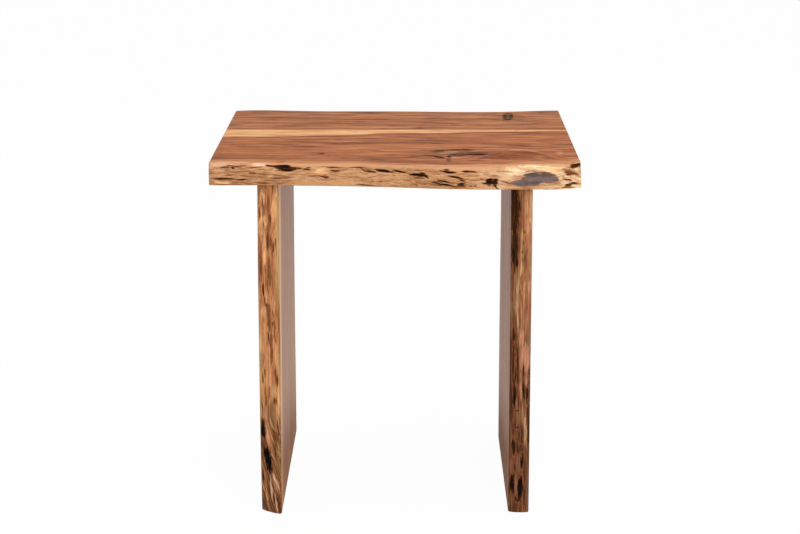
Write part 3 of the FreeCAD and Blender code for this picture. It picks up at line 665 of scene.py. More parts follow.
def bark_over(graph, moved, bare, mottle, threads):
    """The bare wood of a live edge with its patches of bark over it, reddish round their rims."""
    bark = graph.mixture(graph.attribute("bark"), ((mottle, 1.0), (threads, 0.9)))
    blotches = graph.grain(moved, BARK_MOTTLE, detail=4.0, roughness=0.6)
    bark_colour = graph.blend(graph.fade(blotches, *BARK_BLOTCH_FADE), BARK_DARK, BARK_GREY)
    bark_colour = graph.blend(graph.fade(bark, *BARK_RIM_FADE), bark_colour, BARK_RED)
    return graph.blend(graph.fade(bark, *BARK_FADE), bare, bark_colour)


def live_edge(graph, place, moved, tones, run=1.0, pale_end=None, darker_below=None, lean=None, sanded=False):
    """Colour of a board's live edge, and its share against the colour of the broad faces.

    tones are the deep, middle, pale and margin colours;
    run is how soon the pattern changes along the grain;
    pale_end is where along the grain pale wood begins and where it is palest;
    darker_below is where along the grain the edge begins to darken, where it is darkest, and by how much;
    lean is the place below which the grain leans, and its slope there;
    sanded is true where the far arris is sanded smooth.
    """
    deep, middle, pale, margin = tones
    along = graph.part_of(place, "X")
    across = graph.attribute("across")
    edge_place = leaning(graph, place, moved, *lean) if lean else moved
    smudge = graph.grain(edge_place, SMUDGE, run, detail=3.0)
    mottle = graph.grain(edge_place, MOTTLE, run, detail=4.0, roughness=0.62)
    threads = graph.grain(edge_place, THREADS, run, detail=4.0, roughness=0.65)
    fuzz = graph.grain(edge_place, FUZZ, run ** 2, detail=3.0, roughness=0.6)

    tone = graph.mixture(0.5, ((smudge, 0.9), (mottle, 0.8), (threads, 1.6), (fuzz, 1.4)))
    # painted shade in the valleys of the carved relief
    tone = graph.minus(tone, graph.times(graph.attribute("relief"), VALLEY_PAINTED_SHADE))
    colour = graph.ramp(tone, EDGE_STOPS, (deep, middle, pale))
    from_middle = graph.math("ABSOLUTE", graph.minus(across, 0.5))
    margin_share = graph.times(graph.fade(from_middle, *MARGIN_FADE), graph.fade(smudge, *PATCHY_FADE))
    colour = graph.blend(graph.times(margin_share, MARGIN_STRENGTH), colour, margin)
    if pale_end:
        pale_share = graph.times(graph.fade(along, *pale_end), graph.fade(mottle, *PATCHY_FADE))
        colour = graph.blend(pale_share, colour, SAP_END)
    # The edge darkens towards the lower end of a leg
    if darker_below:
        begins, darkest, strength = darker_below
        darker_below_share = graph.times(graph.fade(along, begins, darkest), strength)
        darker_below_share = graph.times(darker_below_share, graph.fade(tone, *DARKER_BELOW_FADE))
        colour = graph.blend(darker_below_share, colour, DARKER_BELOW_TINT, "MULTIPLY")
    if sanded:
        rim = graph.fade(graph.mixture(across, ((mottle, 0.25),)), *SANDED_FADE)
        colour = graph.blend(graph.times(rim, SANDED_STRENGTH), colour, SANDED_PEACH)

    tint = graph.node("ShaderNodeAttribute", attribute_name="tint").outputs
    shade_share, shade_added = TINT_SHADE
    tint_shade = graph.plus(graph.times(tone, shade_share), shade_added)
    tinted = graph.blend(1.0, tint["Color"], tint_shade, "MULTIPLY")
    tint_share = graph.fade(graph.mixture(tint["Alpha"], ((mottle, 0.9), (threads, 0.9))), *TINT_FADE)
    colour = graph.blend(graph.times(tint_share, TINT_STRENGTH), colour, tinted)
    thin_lines = graph.times(graph.fade(threads, *THREAD_FADE), THREAD_STRENGTH)
    colour = graph.blend(thin_lines, colour, deep)
    colour = bark_over(graph, moved, colour, mottle, threads)

    frayed = graph.mixture(graph.attribute("hollow"), ((threads, 1.0), (mottle, 0.8), (fuzz, 0.5)))
    for start, full, hollow_colour in HOLLOW_LAYERS:
        colour = graph.blend(graph.fade(frayed, start, full), colour, hollow_colour)
    under_bark = graph.mixture(graph.attribute("bark_depth"), ((smudge, EDGE_DEPTH_WAVINESS),))
    edge_share = graph.fade(under_bark, *EDGE_DEPTH_FADE)
    edge_share = graph.larger(edge_share, graph.fade(frayed, *HOLLOW_OVER_FACE_FADE))
    return colour, edge_share


def slab_wood(name, grain, sheen, shift, face, edge):
    """Figured wood of one board: growth rings on its sawn faces and the paler wood of its live edge.

    sheen is how shiny the faces and the edge are; shift moves the noises so that boards differ;
    face and edge are the looks that broad_face and live_edge ask for.
    """
    material, graph, surface = new_material(name)
    turned = {"Vector": graph.object_place(), "Rotation": grain}
    place = graph.node("ShaderNodeMapping", turned).outputs["Vector"]
    moved = graph.vector("ADD", place, shift).outputs["Vector"]
    face_colour, flaw_and_shade_share, streaks, fibres, pores = broad_face(graph, place, moved, **face)
    edge_colour, edge_share = live_edge(graph, place, moved, **edge)
    graph.link(graph.blend(edge_share, face_colour, edge_colour), surface.inputs["Base Color"])

    in_hollow = graph.fade(graph.attribute("hollow"), *HOLLOW_FINISH_FADE)
    rough = graph.plus(graph.times(streaks, STREAK_ROUGHNESS), SMOOTHEST)
    rough = graph.math("ADD", rough, graph.times(in_hollow, HOLLOW_ROUGHNESS), clamp=True)
    graph.link(rough, surface.inputs["Roughness"])
    face_sheen, edge_sheen = sheen
    gloss = graph.times(graph.minus(1.0, flaw_and_shade_share), face_sheen)
    gloss = graph.plus(gloss, graph.times(edge_share, graph.minus(edge_sheen, gloss)))
    gloss = graph.times(gloss, graph.minus(1.0, in_hollow))
    graph.link(gloss, surface.inputs["Specular IOR Level"])
    grain_height = graph.minus(graph.times(fibres, FIBRE_HEIGHT), graph.times(pores, PORE_DEPTH))
    graph.bump(surface, grain_height, *GRAIN_BUMP)
    return material


# Boards

def edge_finder(node, upright):
    """Function giving the Y of a board's live edge at a point, looking along a direction."""
    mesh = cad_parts[node].data
    corners = [vertex.co.copy() for vertex in mesh.vertices]
    tree = BVHTree.FromPolygons(corners, [tuple(face.vertices) for face in mesh.polygons])
    low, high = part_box(node)
    inset_x, inset_z = (FACE_INSET, END_INSET) if upright else (END_INSET, FACE_INSET)

    def find(x, z, inward):
        x = min(max(x, low.x + inset_x), high.x - inset_x)
        z = min(max(z, low.z + inset_z), high.z - inset_z)
        start_y = low.y - RAY_START if inward > 0 else high.y + RAY_START
        hit = tree.ray_cast(Vector((x, start_y, z)), Vector((0, inward, 0)))[0]
        return hit.y
    return find


def rounding(distance, radius):
    """How far a rounded arris falls back at a distance from the neighbouring face."""
    short = radius - min(max(distance, 0.0), radius)
    return radius - math.sqrt(radius * radius - short * short)


def station_list(start, end):
    """Places along the grain with the fall-back of the rounded end at each."""
    rounds = []
    for step in range(END_ROUND_STEPS):
        turn = math.pi / 2 * (1 - step / END_ROUND_STEPS)
        rounds.append((END_ROUND * (1 - math.sin(turn)), END_ROUND * (1 - math.cos(turn))))
    straight = end - start - 2 * END_ROUND
    count = round(straight / ALONG_STEP)
    middle = [(start + END_ROUND + straight * index / count, 0.0) for index in range(count + 1)]
    first = [(start + inset, fall) for inset, fall in rounds]
    last = [(end - inset, fall) for inset, fall in reversed(rounds)]
    return first + middle + last


def board_rings(node, upright, inward, wane):
    """Rings of points round a board, one per station, with their place along, across and under the live edge.

    A ring runs along the lower or inner face to the live edge, across it, and back along the other face.
    wane is where the far arris is worn rounder: place along, half length, extra radius.
    """
    low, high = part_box(node)
    find = edge_finder(node, upright)
    start, end = (low.z, high.z) if upright else (low.x, high.x)
    # Across a leg the count starts at the inner face, which is the one nearer the middle of the table.
    if not upright:
        near, far = low.z, high.z
    elif abs(low.x) < abs(high.x):
        near, far = low.x, high.x
    else:
        near, far = high.x, low.x
    outward_step = 1 if far > near else -1
    thickness = abs(far - near)
    glue = high.y if inward > 0 else low.y

    def point(along, across, y):
        through = near + outward_step * across
        return (through, y, along) if upright else (along, y, through)

    wane_along, wane_half, wane_extra = wane
    rings = []
    for along, fall in station_list(start, end):
        worn = max(0.0, 1 - ((along / MM - wane_along) / wane_half) ** 2)
        far_round = (ARRIS_ROUND if upright else TOP_ARRIS_ROUND) + worn * wane_extra * MM
        edge = []
        for index in range(EDGE_POINTS + 1):
            share = index / EDGE_POINTS
            crowded = 0.5 - 0.5 * math.cos(math.pi * share)
            share = EDGE_EVENNESS * share + (1 - EDGE_EVENNESS) * crowded
            across = fall + share * (thickness - 2 * fall)
            x, _, z = point(along, across, 0)
            near_fall = rounding(across - fall, ARRIS_ROUND)
            far_fall = rounding(thickness - fall - across, far_round)
            sunk = fall + near_fall + far_fall
            edge.append((along, across, find(x, z, inward) + inward * sunk, sunk))
        faces = []
        for _, across, arris_y, arris_depth in (edge[0], edge[-1]):
            run = glue - arris_y
            face = []
            for index in range(1, FACE_POINTS + 1):
                away = run * (index / FACE_POINTS) ** FACE_CROWDING
                face.append((along, across, arris_y + away, arris_depth + abs(away)))
            faces.append(face)
        rings.append(faces[0][::-1] + edge + faces[1])
    places = np.array([[point(along, across, y) for along, across, y, _ in ring] for ring in rings])
    facts = np.array(rings)
    return places, facts[:, :, 0], facts[:, :, 1], facts[:, :, 3]


def board_faces(stations, ring_size, turned_over):
    """Quads between neighbouring rings and over both sawn ends."""
    quads = []
    for station in range(stations - 1):
        here, there = station * ring_size, (station + 1) * ring_size
        for index in range(ring_size):
            following = (index + 1) % ring_size
            quads.append((here + index, here + following, there + following, there + index))
    last = (stations - 1) * ring_size
    for index in range(ring_size // 2):
        mate, next_mate = ring_size - 1 - index, ring_size - 2 - index
        if index + 1 > next_mate:
            break
        cap = (index, mate, next_mate, index + 1)
        if index + 1 == next_mate:
            cap = (index, mate, index + 1)
        quads.append(cap)
        quads.append(tuple(last + corner for corner in reversed(cap)))
    return [tuple(reversed(quad)) for quad in quads] if turned_over else quads


def ragged_places(along, across, seed):
    """Places on a live edge pushed about by noise, and how far splinters reach in or out there."""
    noise.seed_set(WOBBLE_SEED)     # noise_vector is otherwise seeded by the clock
    flat_along, flat_across = along.ravel(), across.ravel()
    pushed = np.array([
        noise.noise_vector(Vector((a * WOBBLE_DRAWN_OUT / WOBBLE_SIZE, c / WOBBLE_SIZE, seed)))
        for a, c in zip(flat_along, flat_across)
    ])
    torn = np.array([
        noise.noise(Vector((a / TEAR_LENGTH, c / TEAR_WIDTH, seed + 0.5)))
        for a, c in zip(flat_along, flat_across)
    ])
    pushed_along = flat_along + WOBBLE_ALONG * pushed[:, 0]
    pushed_across = flat_across + WOBBLE_ACROSS * pushed[:, 1]
    shape = along.shape
    return pushed_along.reshape(shape), pushed_across.reshape(shape), TEAR_SHARE * torn.reshape(shape)


def smooth(value, start, end):
    """0 at start, 1 at end, smooth between them."""
    share = np.clip((value - start) / (end - start), 0, 1)
    return share * share * (3 - 2 * share)


def reach_of(along, across, spot_along, spot_across, half_length, half_width, lean):
    """Distance from the middle of a leaning ellipse, 1 on its outline."""
    lean = math.radians(lean)
    step_along, step_across = along - spot_along * MM, across - spot_across * MM
    lengthwise = step_along * math.cos(lean) + step_across * math.sin(lean)
    sideways = step_across * math.cos(lean) - step_along * math.sin(lean)
    return np.hypot(lengthwise / (half_length * MM), sideways / (half_width * MM))


def hollow_fields(along, across, torn, hollows):
    """Depth in metres and darkness of the hollows at each place of a live edge."""
    sunk, dark = np.zeros(along.shape), np.zeros(along.shape)
    for spot_along, spot_across, half_length, half_width, lean, depth, darkness in hollows:
        reach = reach_of(along, across, spot_along, spot_across, half_length, half_width, lean) + torn
        sunk = np.maximum(sunk, smooth(reach, *HOLLOW_SLOPE) * depth * MM)
        dark = np.maximum(dark, darkness * smooth(reach, *HOLLOW_SHADE))
    return sunk, dark


def patch_field(along, across, torn, patches, softness):
    """1 inside any of the given patches of a live edge, with torn outlines."""
    share = np.zeros(along.shape)
    for spot_along, spot_across, half_length, half_width, lean in patches:
        reach = reach_of(along, across, spot_along, spot_across, half_length, half_width, lean) + torn
        share = np.maximum(share, smooth(reach, 1 + softness, 1 - softness))
    return share


def tint_field(along, across, torn, tints):
    """Colour of the tinted patches at each place of a live edge, with their share in its alpha."""
    mixed = np.zeros(along.shape + (3,))
    total, strongest = np.zeros(along.shape), np.zeros(along.shape)
    for colour, patches in tints:
        share = patch_field(along, across, torn, patches, TINT_SOFTNESS)
        mixed += share[..., None] * np.array(colour[:3])
        total += share
        strongest = np.maximum(strongest, share)
    mixed /= np.maximum(total, 1e-6)[..., None]
    return np.concatenate([mixed, strongest[..., None]], axis=2)


def scattered(start, end, thickness, seed, count, half_lengths, half_widths, darkness):
    """Hollows strewn over a live edge with a fixed seed, more of them small than large."""
    chance = random.Random(seed)
    hollows = []
    for _ in range(count):
        size = chance.random() ** 2
        half_length = half_lengths[0] + (half_lengths[1] - half_lengths[0]) * size
        half_width = half_widths[0] + (half_widths[1] - half_widths[0]) * size
        place_along = chance.uniform(start, end) / MM
        place_across = chance.uniform(*SCATTER_ACROSS) * thickness / MM
        lean = chance.uniform(*SCATTER_LEAN)
        depth = half_width * chance.uniform(*SCATTER_DEPTH)
        hollows.append((
            place_along, place_across, half_length, half_width, lean, depth, chance.uniform(*darkness)))
    return hollows


def live_edge_tree():
    """Geometry nodes that carve fibrous ridges and the hollows into a live edge."""
    tree = bpy.data.node_groups.new("live_edge_relief", "GeometryNodeTree")
    sockets = (
        ("Board", "NodeSocketGeometry"),
        ("Ridge Depth", "NodeSocketFloat"),
        ("Ridges Per Metre", "NodeSocketVector"),
        ("Inward", "NodeSocketVector"),
        ("Seed", "NodeSocketFloat"),
        ("Finish", "NodeSocketMaterial"),
    )
    for name, kind in sockets:
        tree.interface.new_socket(name, in_out="INPUT", socket_type=kind)
    tree.interface.new_socket("Board", in_out="OUTPUT", socket_type="NodeSocketGeometry")
    graph = Graph(tree)
    given = graph.node("NodeGroupInput").outputs
    place = graph.node("GeometryNodeInputPosition").outputs["Position"]

    def read(name):
        made = graph.node("GeometryNodeInputNamedAttribute", {"Name": name}, data_type="FLOAT")
        return made.outputs["Attribute"]

    coarse_place = graph.stretched(place, given["Ridges Per Metre"])
    fine_place = graph.stretched(coarse_place, (FINE_RIDGES,) * 3)

    def ridges(vector, detail):
        inputs = {"Vector": vector, "W": given["Seed"], "Scale": 1.0, "Detail": detail, "Roughness": 0.6}
        return graph.node("ShaderNodeTexNoise", inputs, noise_dimensions="4D").outputs["Fac"]

    height = graph.times(ridges(coarse_place, 3.0), 1 - FINE_SHARE)
    height = graph.plus(height, graph.times(ridges(fine_place, 2.0), FINE_SHARE))
    valley = graph.fade(height, *VALLEY_FADE)
    carved = graph.times(graph.times(valley, given["Ridge Depth"]), read("edge"))
    offset = graph.vector("SCALE", given["Inward"])
    graph.link(graph.plus(carved, read("sunk")), offset.inputs["Scale"])
    shaped = graph.node("GeometryNodeSetPosition", {
        "Geometry": given["Board"], "Offset": offset.outputs["Vector"]}).outputs["Geometry"]
    kept_valley = {"Geometry": shaped, "Name": "relief", "Value": valley}
    marked = graph.node(
        "GeometryNodeStoreNamedAttribute", kept_valley, data_type="FLOAT", domain="POINT")
    whole = graph.node(
        "GeometryNodeRealizeInstances", {"Geometry": marked.outputs["Geometry"]}).outputs["Geometry"]
    finished = graph.node("GeometryNodeSetMaterial", {
        "Geometry": whole, "Material": given["Finish"]}).outputs["Geometry"]
    graph.node("NodeGroupOutput", {"Board": finished})
    return tree


def set_input(modifier, name, value):
    """Set a modifier's input by the identifier of the socket with that name."""
    for socket in modifier.node_group.interface.items_tree:
        if socket.in_out == "INPUT" and socket.name == name:
            modifier[socket.identifier] = value


def plain_mesh(maker, name):
    """Evaluate an object's modifiers into a mesh of its own; returns the finished object."""
    bpy.context.view_layer.update()
    evaluated = maker.evaluated_get(bpy.context.evaluated_depsgraph_get())
    mesh = bpy.data.meshes.new_from_object(evaluated)
    mesh.name = name
    maker.modifiers.clear()
    rough = maker.data
    maker.data = mesh
    bpy.data.meshes.remove(rough)
    return maker


def add_field(mesh, name, kind, part, values):
    """Keep a value or a colour for each point of a mesh."""
    mesh.attributes.new(name, kind, "POINT").data.foreach_set(part, values.astype(np.float32).ravel())


def slab_board(node, piece_name, upright, inward, finish, relief, seed, hollows=None, bark=(), tints=(),
               wane=NO_WANE):
    """One board of the table as a dense mesh with its live edge carved, in place of its CAD node."""
    places, along, across, depth = board_rings(node, upright, inward, wane)
    stations, ring_size = depth.shape
    edge = slice(FACE_POINTS, FACE_POINTS + EDGE_POINTS + 1)
    edge_along, edge_across = along[:, edge], across[:, edge]
    thickness = across.max()
    reach = along.min(), along.max(), thickness
    if hollows is None:
        hollows = scattered(*reach, seed, **HIDDEN_HOLLOWS)
    hollows = (*hollows, *scattered(*reach, seed + 1, **SMALL_HOLLOWS))
    ragged = ragged_places(edge_along, edge_across, seed)
    sunk, dark = hollow_fields(*ragged, hollows)
    to_face = np.minimum(edge_across, thickness - edge_across)
    to_end = np.minimum(edge_along - along.min(), along.max() - edge_along)
    inside = smooth(to_face, 0.0, RELIEF_FROM_FACE) * smooth(to_end, 0.0, RELIEF_FROM_END)

    def over_board(values):
        field = np.zeros(depth.shape + values.shape[2:])
        field[:, edge] = values
        return field

    ragged_along, ragged_across, torn = ragged
    bark_share = patch_field(ragged_along, ragged_across, BARK_TEAR * torn, bark, BARK_SOFTNESS)
    fields = {
        "bark_depth": depth,
        "edge": over_board(inside),
        "sunk": over_board(sunk * inside),
        "hollow": over_board(dark),
        "bark": over_board(bark_share),
        "across": across / thickness,
    }
    mesh = bpy.data.meshes.new(piece_name)
    corners = places.reshape(-1, 3)
    first_turn = np.cross(corners[1] - corners[0], corners[ring_size] - corners[0])
    outward = corners[0] - corners.mean(axis=0)
    turned_over = float(first_turn @ outward) < 0
    mesh.from_pydata(corners.tolist(), [], board_faces(stations, ring_size, turned_over))
    for name, values in fields.items():
        add_field(mesh, name, "FLOAT", "value", values)
    add_field(mesh, "tint", "FLOAT_COLOR", "color", over_board(tint_field(*ragged, tints)))
    board = bpy.data.objects.new(piece_name, mesh)
    bpy.context.scene.collection.objects.link(board)
    modifier = board.modifiers.new("live_edge_relief", "NODES")
    modifier.node_group = relief
    lengthwise, sideways = 1 / RIDGE_LENGTH, 1 / RIDGE_WIDTH
    per_metre = (sideways, sideways, lengthwise) if upright else (lengthwise, sideways, sideways)
    inputs = {
        "Ridge Depth": RIDGE_DEPTH,
        "Ridges Per Metre": per_metre,
        "Inward": (0.0, float(inward), 0.0),
        "Seed": float(seed),
        "Finish": finish,
    }
    for name, value in inputs.items():
        set_input(modifier, name, value)
    plain_mesh(board, piece_name)
    board.data.polygons.foreach_set("use_smooth", [True] * len(board.data.polygons))
    board.data.set_sharp_from_angle(angle=math.radians(SHARP_ANGLE))
    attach(board, "root")
    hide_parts(node)


# Metal, nylon and dowel finishes

CLOUD_STOPS = (0.3, 0.7)      # noise levels of the darker and the paler colour of a finish
COAT_BLACKS = ((0.014, 0.013, 0.013, 1), (0.030, 0.028, 0.027, 1))
ZINC_GREYS = ((0.46, 0.46, 0.44, 1), (0.66, 0.66, 0.63, 1))
BRASS_YELLOWS = ((0.52, 0.35, 0.12, 1), (0.72, 0.52, 0.22, 1))
NYLON_BROWNS = ((0.105, 0.062, 0.036, 1), (0.150, 0.092, 0.055, 1))
BEECH_TANS = ((0.46, 0.28, 0.15, 1), (0.66, 0.46, 0.28, 1))
TURNING_MARKS = (900, 900, 5200)        # fine rings round fasteners that stand upright
DOWEL_FLECKS = (700, 30, 700)           # long flecks along a dowel that lies from front to back
PEG_FLECKS = (700, 700, 30)             # and along an upright peg
# Clouds of colour and fine grit: how often they change in a metre
COAT_CLOUD, COAT_GRIT = 60, 1400
METAL_CLOUD = 260
NYLON_CLOUD, NYLON_GRIT = 140, 2200
# Roughness, or its least and what the fine marks add to it
COAT_SMOOTHEST, COAT_ROUGHENING = 0.38, 0.20
ZINC_SMOOTHEST, BRASS_SMOOTHEST, METAL_ROUGHENING = 0.28, 0.24, 0.22
NYLON_ROUGHNESS = 0.5
BEECH_ROUGHNESS = 0.7
# Bumps: strength and height
COAT_BUMP = (0.3, 0.2 * MM)
METAL_BUMP = (0.12, 0.1 * MM)
NYLON_BUMP = (0.2, 0.1 * MM)


def painted_steel():
    """Black powder coat: fine orange-peel and a slight mottling."""
    material, graph, surface = new_material("black_powder_coat")
    grit = graph.speckle(COAT_GRIT)
    cloud = graph.speckle(COAT_CLOUD)
    graph.link(graph.ramp(cloud, CLOUD_STOPS, COAT_BLACKS), surface.inputs["Base Color"])
    rough = graph.plus(graph.times(grit, COAT_ROUGHENING), COAT_SMOOTHEST)
    graph.link(rough, surface.inputs["Roughness"])
    graph.bump(surface, grit, *COAT_BUMP)
    return material


def plated_metal(name, colours, smoothest):
    """Plated or solid metal with a faint cloud in its colour and fine turning marks."""
    material, graph, surface = new_material(name)
    cloud = graph.speckle(METAL_CLOUD, detail=3.0)
    marks = graph.noise(graph.stretched(graph.object_place(), TURNING_MARKS))
    graph.link(graph.ramp(cloud, CLOUD_STOPS, colours), surface.inputs["Base Color"])
    surface.inputs["Metallic"].default_value = 1.0
    rough = graph.plus(graph.times(marks, METAL_ROUGHENING), smoothest)
    graph.link(rough, surface.inputs["Roughness"])
    graph.bump(surface, marks, *METAL_BUMP)
    return material


def moulded_nylon():
    """Brown nylon with the fine grain of its mould."""
    material, graph, surface = new_material("brown_nylon")
    cloud = graph.speckle(NYLON_CLOUD)
    grit = graph.speckle(NYLON_GRIT, detail=1.0)
    graph.link(graph.ramp(cloud, CLOUD_STOPS, NYLON_BROWNS), surface.inputs["Base Color"])
    surface.inputs["Roughness"].default_value = NYLON_ROUGHNESS
    graph.bump(surface, grit, *NYLON_BUMP)
    return material


def raw_dowel_wood(name, flecks):
    """Plain pale beech; flecks is how often they change in a metre along each axis."""
    material, graph, surface = new_material(name)
    streaks = graph.noise(graph.stretched(graph.object_place(), flecks), detail=3.0)
    graph.link(graph.ramp(streaks, CLOUD_STOPS, BEECH_TANS), surface.inputs["Base Color"])
    surface.inputs["Roughness"].default_value = BEECH_ROUGHNESS
    return material


def dress(node, material):
    """Give a CAD node its finish."""
    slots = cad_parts[node].data.materials
    slots.clear()
    slots.append(material)


# Figure and marks of the broad faces

# Eyes: place along, place across, half length, half width, swelling of the rings
TOP_FRONT_EYES = (
    (198, -193, 74, 60, 44),
    (256, -184, 30, 34, 10),
)
TOP_BACK_EYES = (
    (206, 222, 34, 74, 16),
    (42, 91, 16, 24, 5),
)
LEG_ARCHES = (
    (180, 110, 260, 46, 36),
    (420, 60, 120, 40, 22),
)
# Marks: a colour, its strength and its spots, laid out as the bark is
TOP_FRONT_MARKS = (
    (EYE_RED, 0.85, (
        (189, -205, 46, 36, -4), (216, -178, 28, 24, 0), (89, -240, 5, 28, 0), (214, -95, 46, 6, -30))),
    (EYE_PALE, 0.75, (
        (148, -142, 22, 6, 31), (176, -131, 20, 6, 9), (208, -134, 21, 6, -18), (237, -156, 21, 6, -52),
        (97, -214, 14, 12, 0), (262, -140, 14, 6, -20), (276, -168, 6, 22, 0))),
    (CRACK_BROWN, 0.75, (
        (100, -178, 58, 32, 0), (73, -158, 14, 10, 0), (122, -183, 36, 11, 8), (146, -184, 16, 14, 0),
        (89, -240, 4, 24, 0), (-96, -82, 22, 7, -14), (-43, -143, 26, 5, -25), (190, -214, 10, 9, 0),
        (250, -220, 8, 9, 0), (276, -116, 28, 5, 0))),
    (CRACK_GREY, 0.85, ((90, -166, 26, 12, 50),)),
    (HOLLOW_DARK, 0.95, (
        (71, -210, 19, 7, -56), (56, -200, 12, 6, -30), (76, -150, 15, 6, 10), (102, -143, 13, 6, 10),
        (119, -138, 8, 6, 0), (122, -191, 34, 8, 12), (97, -190, 8, 9, 0), (90, -206, 5, 13, 0),
        (146, -185, 9, 7, 0), (-123, -178, 7, 6, -40))),
)
TOP_BACK_MARKS = (
    (KNOT_OLIVE, 0.90, ((206, 230, 6, 40, -3), (205, 212, 7, 22, 3))),
    (CRACK_BROWN, 0.70, ((42, 91, 8, 14, 0),)),
    (HOLLOW_DARK, 0.85, (
        (200, 224, 4, 36, -3), (213, 232, 4, 34, -3), (208, 266, 6, 6, 0), (204, 190, 8, 8, 0))),
)

# The table

TOP_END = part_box("top_front_board")[1].x
# Sapwood in front of the glue line: where that line is, half its length, the widest the strip may be,
# and its width in millimetres at shares of the way from left to right
GLUE_STRIP = (
    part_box("top_front_board")[1].y,
    TOP_END,
    0.1,
    ((0.0, 74), (0.12, 74), (0.31, 63), (0.40, 50), (0.48, 38),
     (0.63, 35), (0.72, 27), (0.83, 19), (1.0, 11)),
)
TOP_SHEEN = (0.02, 0.20)
LEG_SHEEN = (0.45, 0.10)
# Painted shade on the legs' faces towards the floor: where it begins, where it is darkest, the slope of that
# line and its strength
LEG_FOOT_SHADE = (0.190, 0.050, 0.13, 0.95)
LEG_FACE = {"tones": LEG_HEART, "figure": 1.10, "run": 0.20, "foot_shade": LEG_FOOT_SHADE}
# Painted light: the left leg's faces are made paler for the brighter light that falls on its inner face
LEFT_LEG_FACE_PAINTED_LIGHT = {**LEG_FACE, "level": 0.68}     # the left leg is the paler one
TOP_EDGE = {"tones": TOP_EDGE_TONES, "sanded": True}
LEFT_LEG_EDGE = {"tones": LEFT_LEG_TONES, "run": 0.42}
RIGHT_LEG_EDGE = {"tones": RIGHT_LEG_TONES, "run": 0.42}

top_front_wood = slab_wood(
    "top_front_wood", TOP_GRAIN, TOP_SHEEN, shift=(0.0, 0.0, 0.0),
    face={
        "tones": TOP_FRONT_HEART, "pith": (-0.08, 0.40), "ring_width": 0.0105, "level": 0.53,
        "eyes": TOP_FRONT_EYES, "marks": TOP_FRONT_MARKS, "sap_strip": GLUE_STRIP, "sap_rim": (0.026, 0.35),
        "sawn_end": TOP_END},
    edge={**TOP_EDGE, "pale_end": (0.10, 0.26)})
top_back_wood = slab_wood(
    "top_back_wood", TOP_GRAIN, TOP_SHEEN, shift=(3.1, 1.7, 0.4),
    face={
        "tones": TOP_BACK_HEART, "pith": (0.30, 0.36), "ring_width": 0.0090,
        "eyes": TOP_BACK_EYES, "marks": TOP_BACK_MARKS, "sawn_end": TOP_END},
    edge=TOP_EDGE)
left_front_wood = slab_wood(
    "left_leg_front_wood", LEG_GRAIN, LEG_SHEEN, shift=(5.3, 2.9, 1.1),
    face={**LEFT_LEG_FACE_PAINTED_LIGHT, "pith": (-0.10, 0.34), "ring_width": 0.0085, "sap_rim": (0.050, 1.0)},
    edge={**LEFT_LEG_EDGE, "darker_below": (0.25, 0.12, 0.97), "lean": (0.17, 0.3)})
left_back_wood = slab_wood(
    "left_leg_back_wood", LEG_GRAIN, LEG_SHEEN, shift=(7.7, 4.1, 2.3),
    face={**LEFT_LEG_FACE_PAINTED_LIGHT, "pith": (0.16, 0.32), "ring_width": 0.0095, "eyes": LEG_ARCHES},
    edge=LEFT_LEG_EDGE)
right_front_wood = slab_wood(
    "right_leg_front_wood", LEG_GRAIN, LEG_SHEEN, shift=(9.2, 6.3, 3.9),
    face={**LEG_FACE, "pith": (-0.12, -0.08), "ring_width": 0.0085},
    edge={**RIGHT_LEG_EDGE, "darker_below": (0.40, 0.22, 1.0)})
right_back_wood = slab_wood(
    "right_leg_back_wood", LEG_GRAIN, LEG_SHEEN, shift=(11.4, 8.1, 5.2),
    face={**LEG_FACE, "pith": (0.14, -0.10), "ring_width": 0.0095, "eyes": LEG_ARCHES},
    edge=RIGHT_LEG_EDGE)

relief = live_edge_tree()
FRONT, BACK = 1, -1            # which way along Y is inward from the live edge
FLAT, UPRIGHT = False, True
slab_board("top_front_board", "top_front_slab", FLAT, FRONT, top_front_wood, relief, seed=3,
           hollows=TOP_FRONT_HOLLOWS, bark=TOP_FRONT_BARK, tints=TOP_FRONT_TINTS, wane=TOP_FRONT_WANE)
slab_board("top_back_board", "top_back_slab", FLAT, BACK, top_back_wood, relief, seed=11)
slab_board("left_leg_front_board", "left_leg_front_slab", UPRIGHT, FRONT, left_front_wood, relief, seed=17,
           hollows=LEFT_LEG_HOLLOWS, tints=LEFT_LEG_TINTS)
slab_board("left_leg_back_board", "left_leg_back_slab", UPRIGHT, BACK, left_back_wood, relief, seed=23)
slab_board("right_leg_front_board", "right_leg_front_slab", UPRIGHT, FRONT, right_front_wood, relief, seed=29,
           hollows=RIGHT_LEG_HOLLOWS, tints=RIGHT_LEG_TINTS)
slab_board("right_leg_back_board", "right_leg_back_slab", UPRIGHT, BACK, right_back_wood, relief, seed=37)

powder_coat = painted_steel()
zinc = plated_metal("zinc_plate", ZINC_GREYS, ZINC_SMOOTHEST)
brass = plated_metal("turned_brass", BRASS_YELLOWS, BRASS_SMOOTHEST)
nylon = moulded_nylon()
dowel_wood = raw_dowel_wood("beech_dowel", DOWEL_FLECKS)
peg_wood = raw_dowel_wood("beech_peg", PEG_FLECKS)
LEG_FINISHES = {
    "leg_joint_dowels": dowel_wood,
    "leg_locating_pegs": peg_wood,
    "steel_angle": powder_coat,
    "angle_leg_screws": zinc,
    "angle_top_bolts": zinc,
    "angle_washers": zinc,
    "glide_nails": zinc,
    "top_inserts": brass,
    "leg_glides": nylon,
}
dress("top_joint_dowels", dowel_wood)
for side in ("left", "right"):
    for node, finish in LEG_FINISHES.items():
        dress(f"{side}_{node}", finish)


# Studio

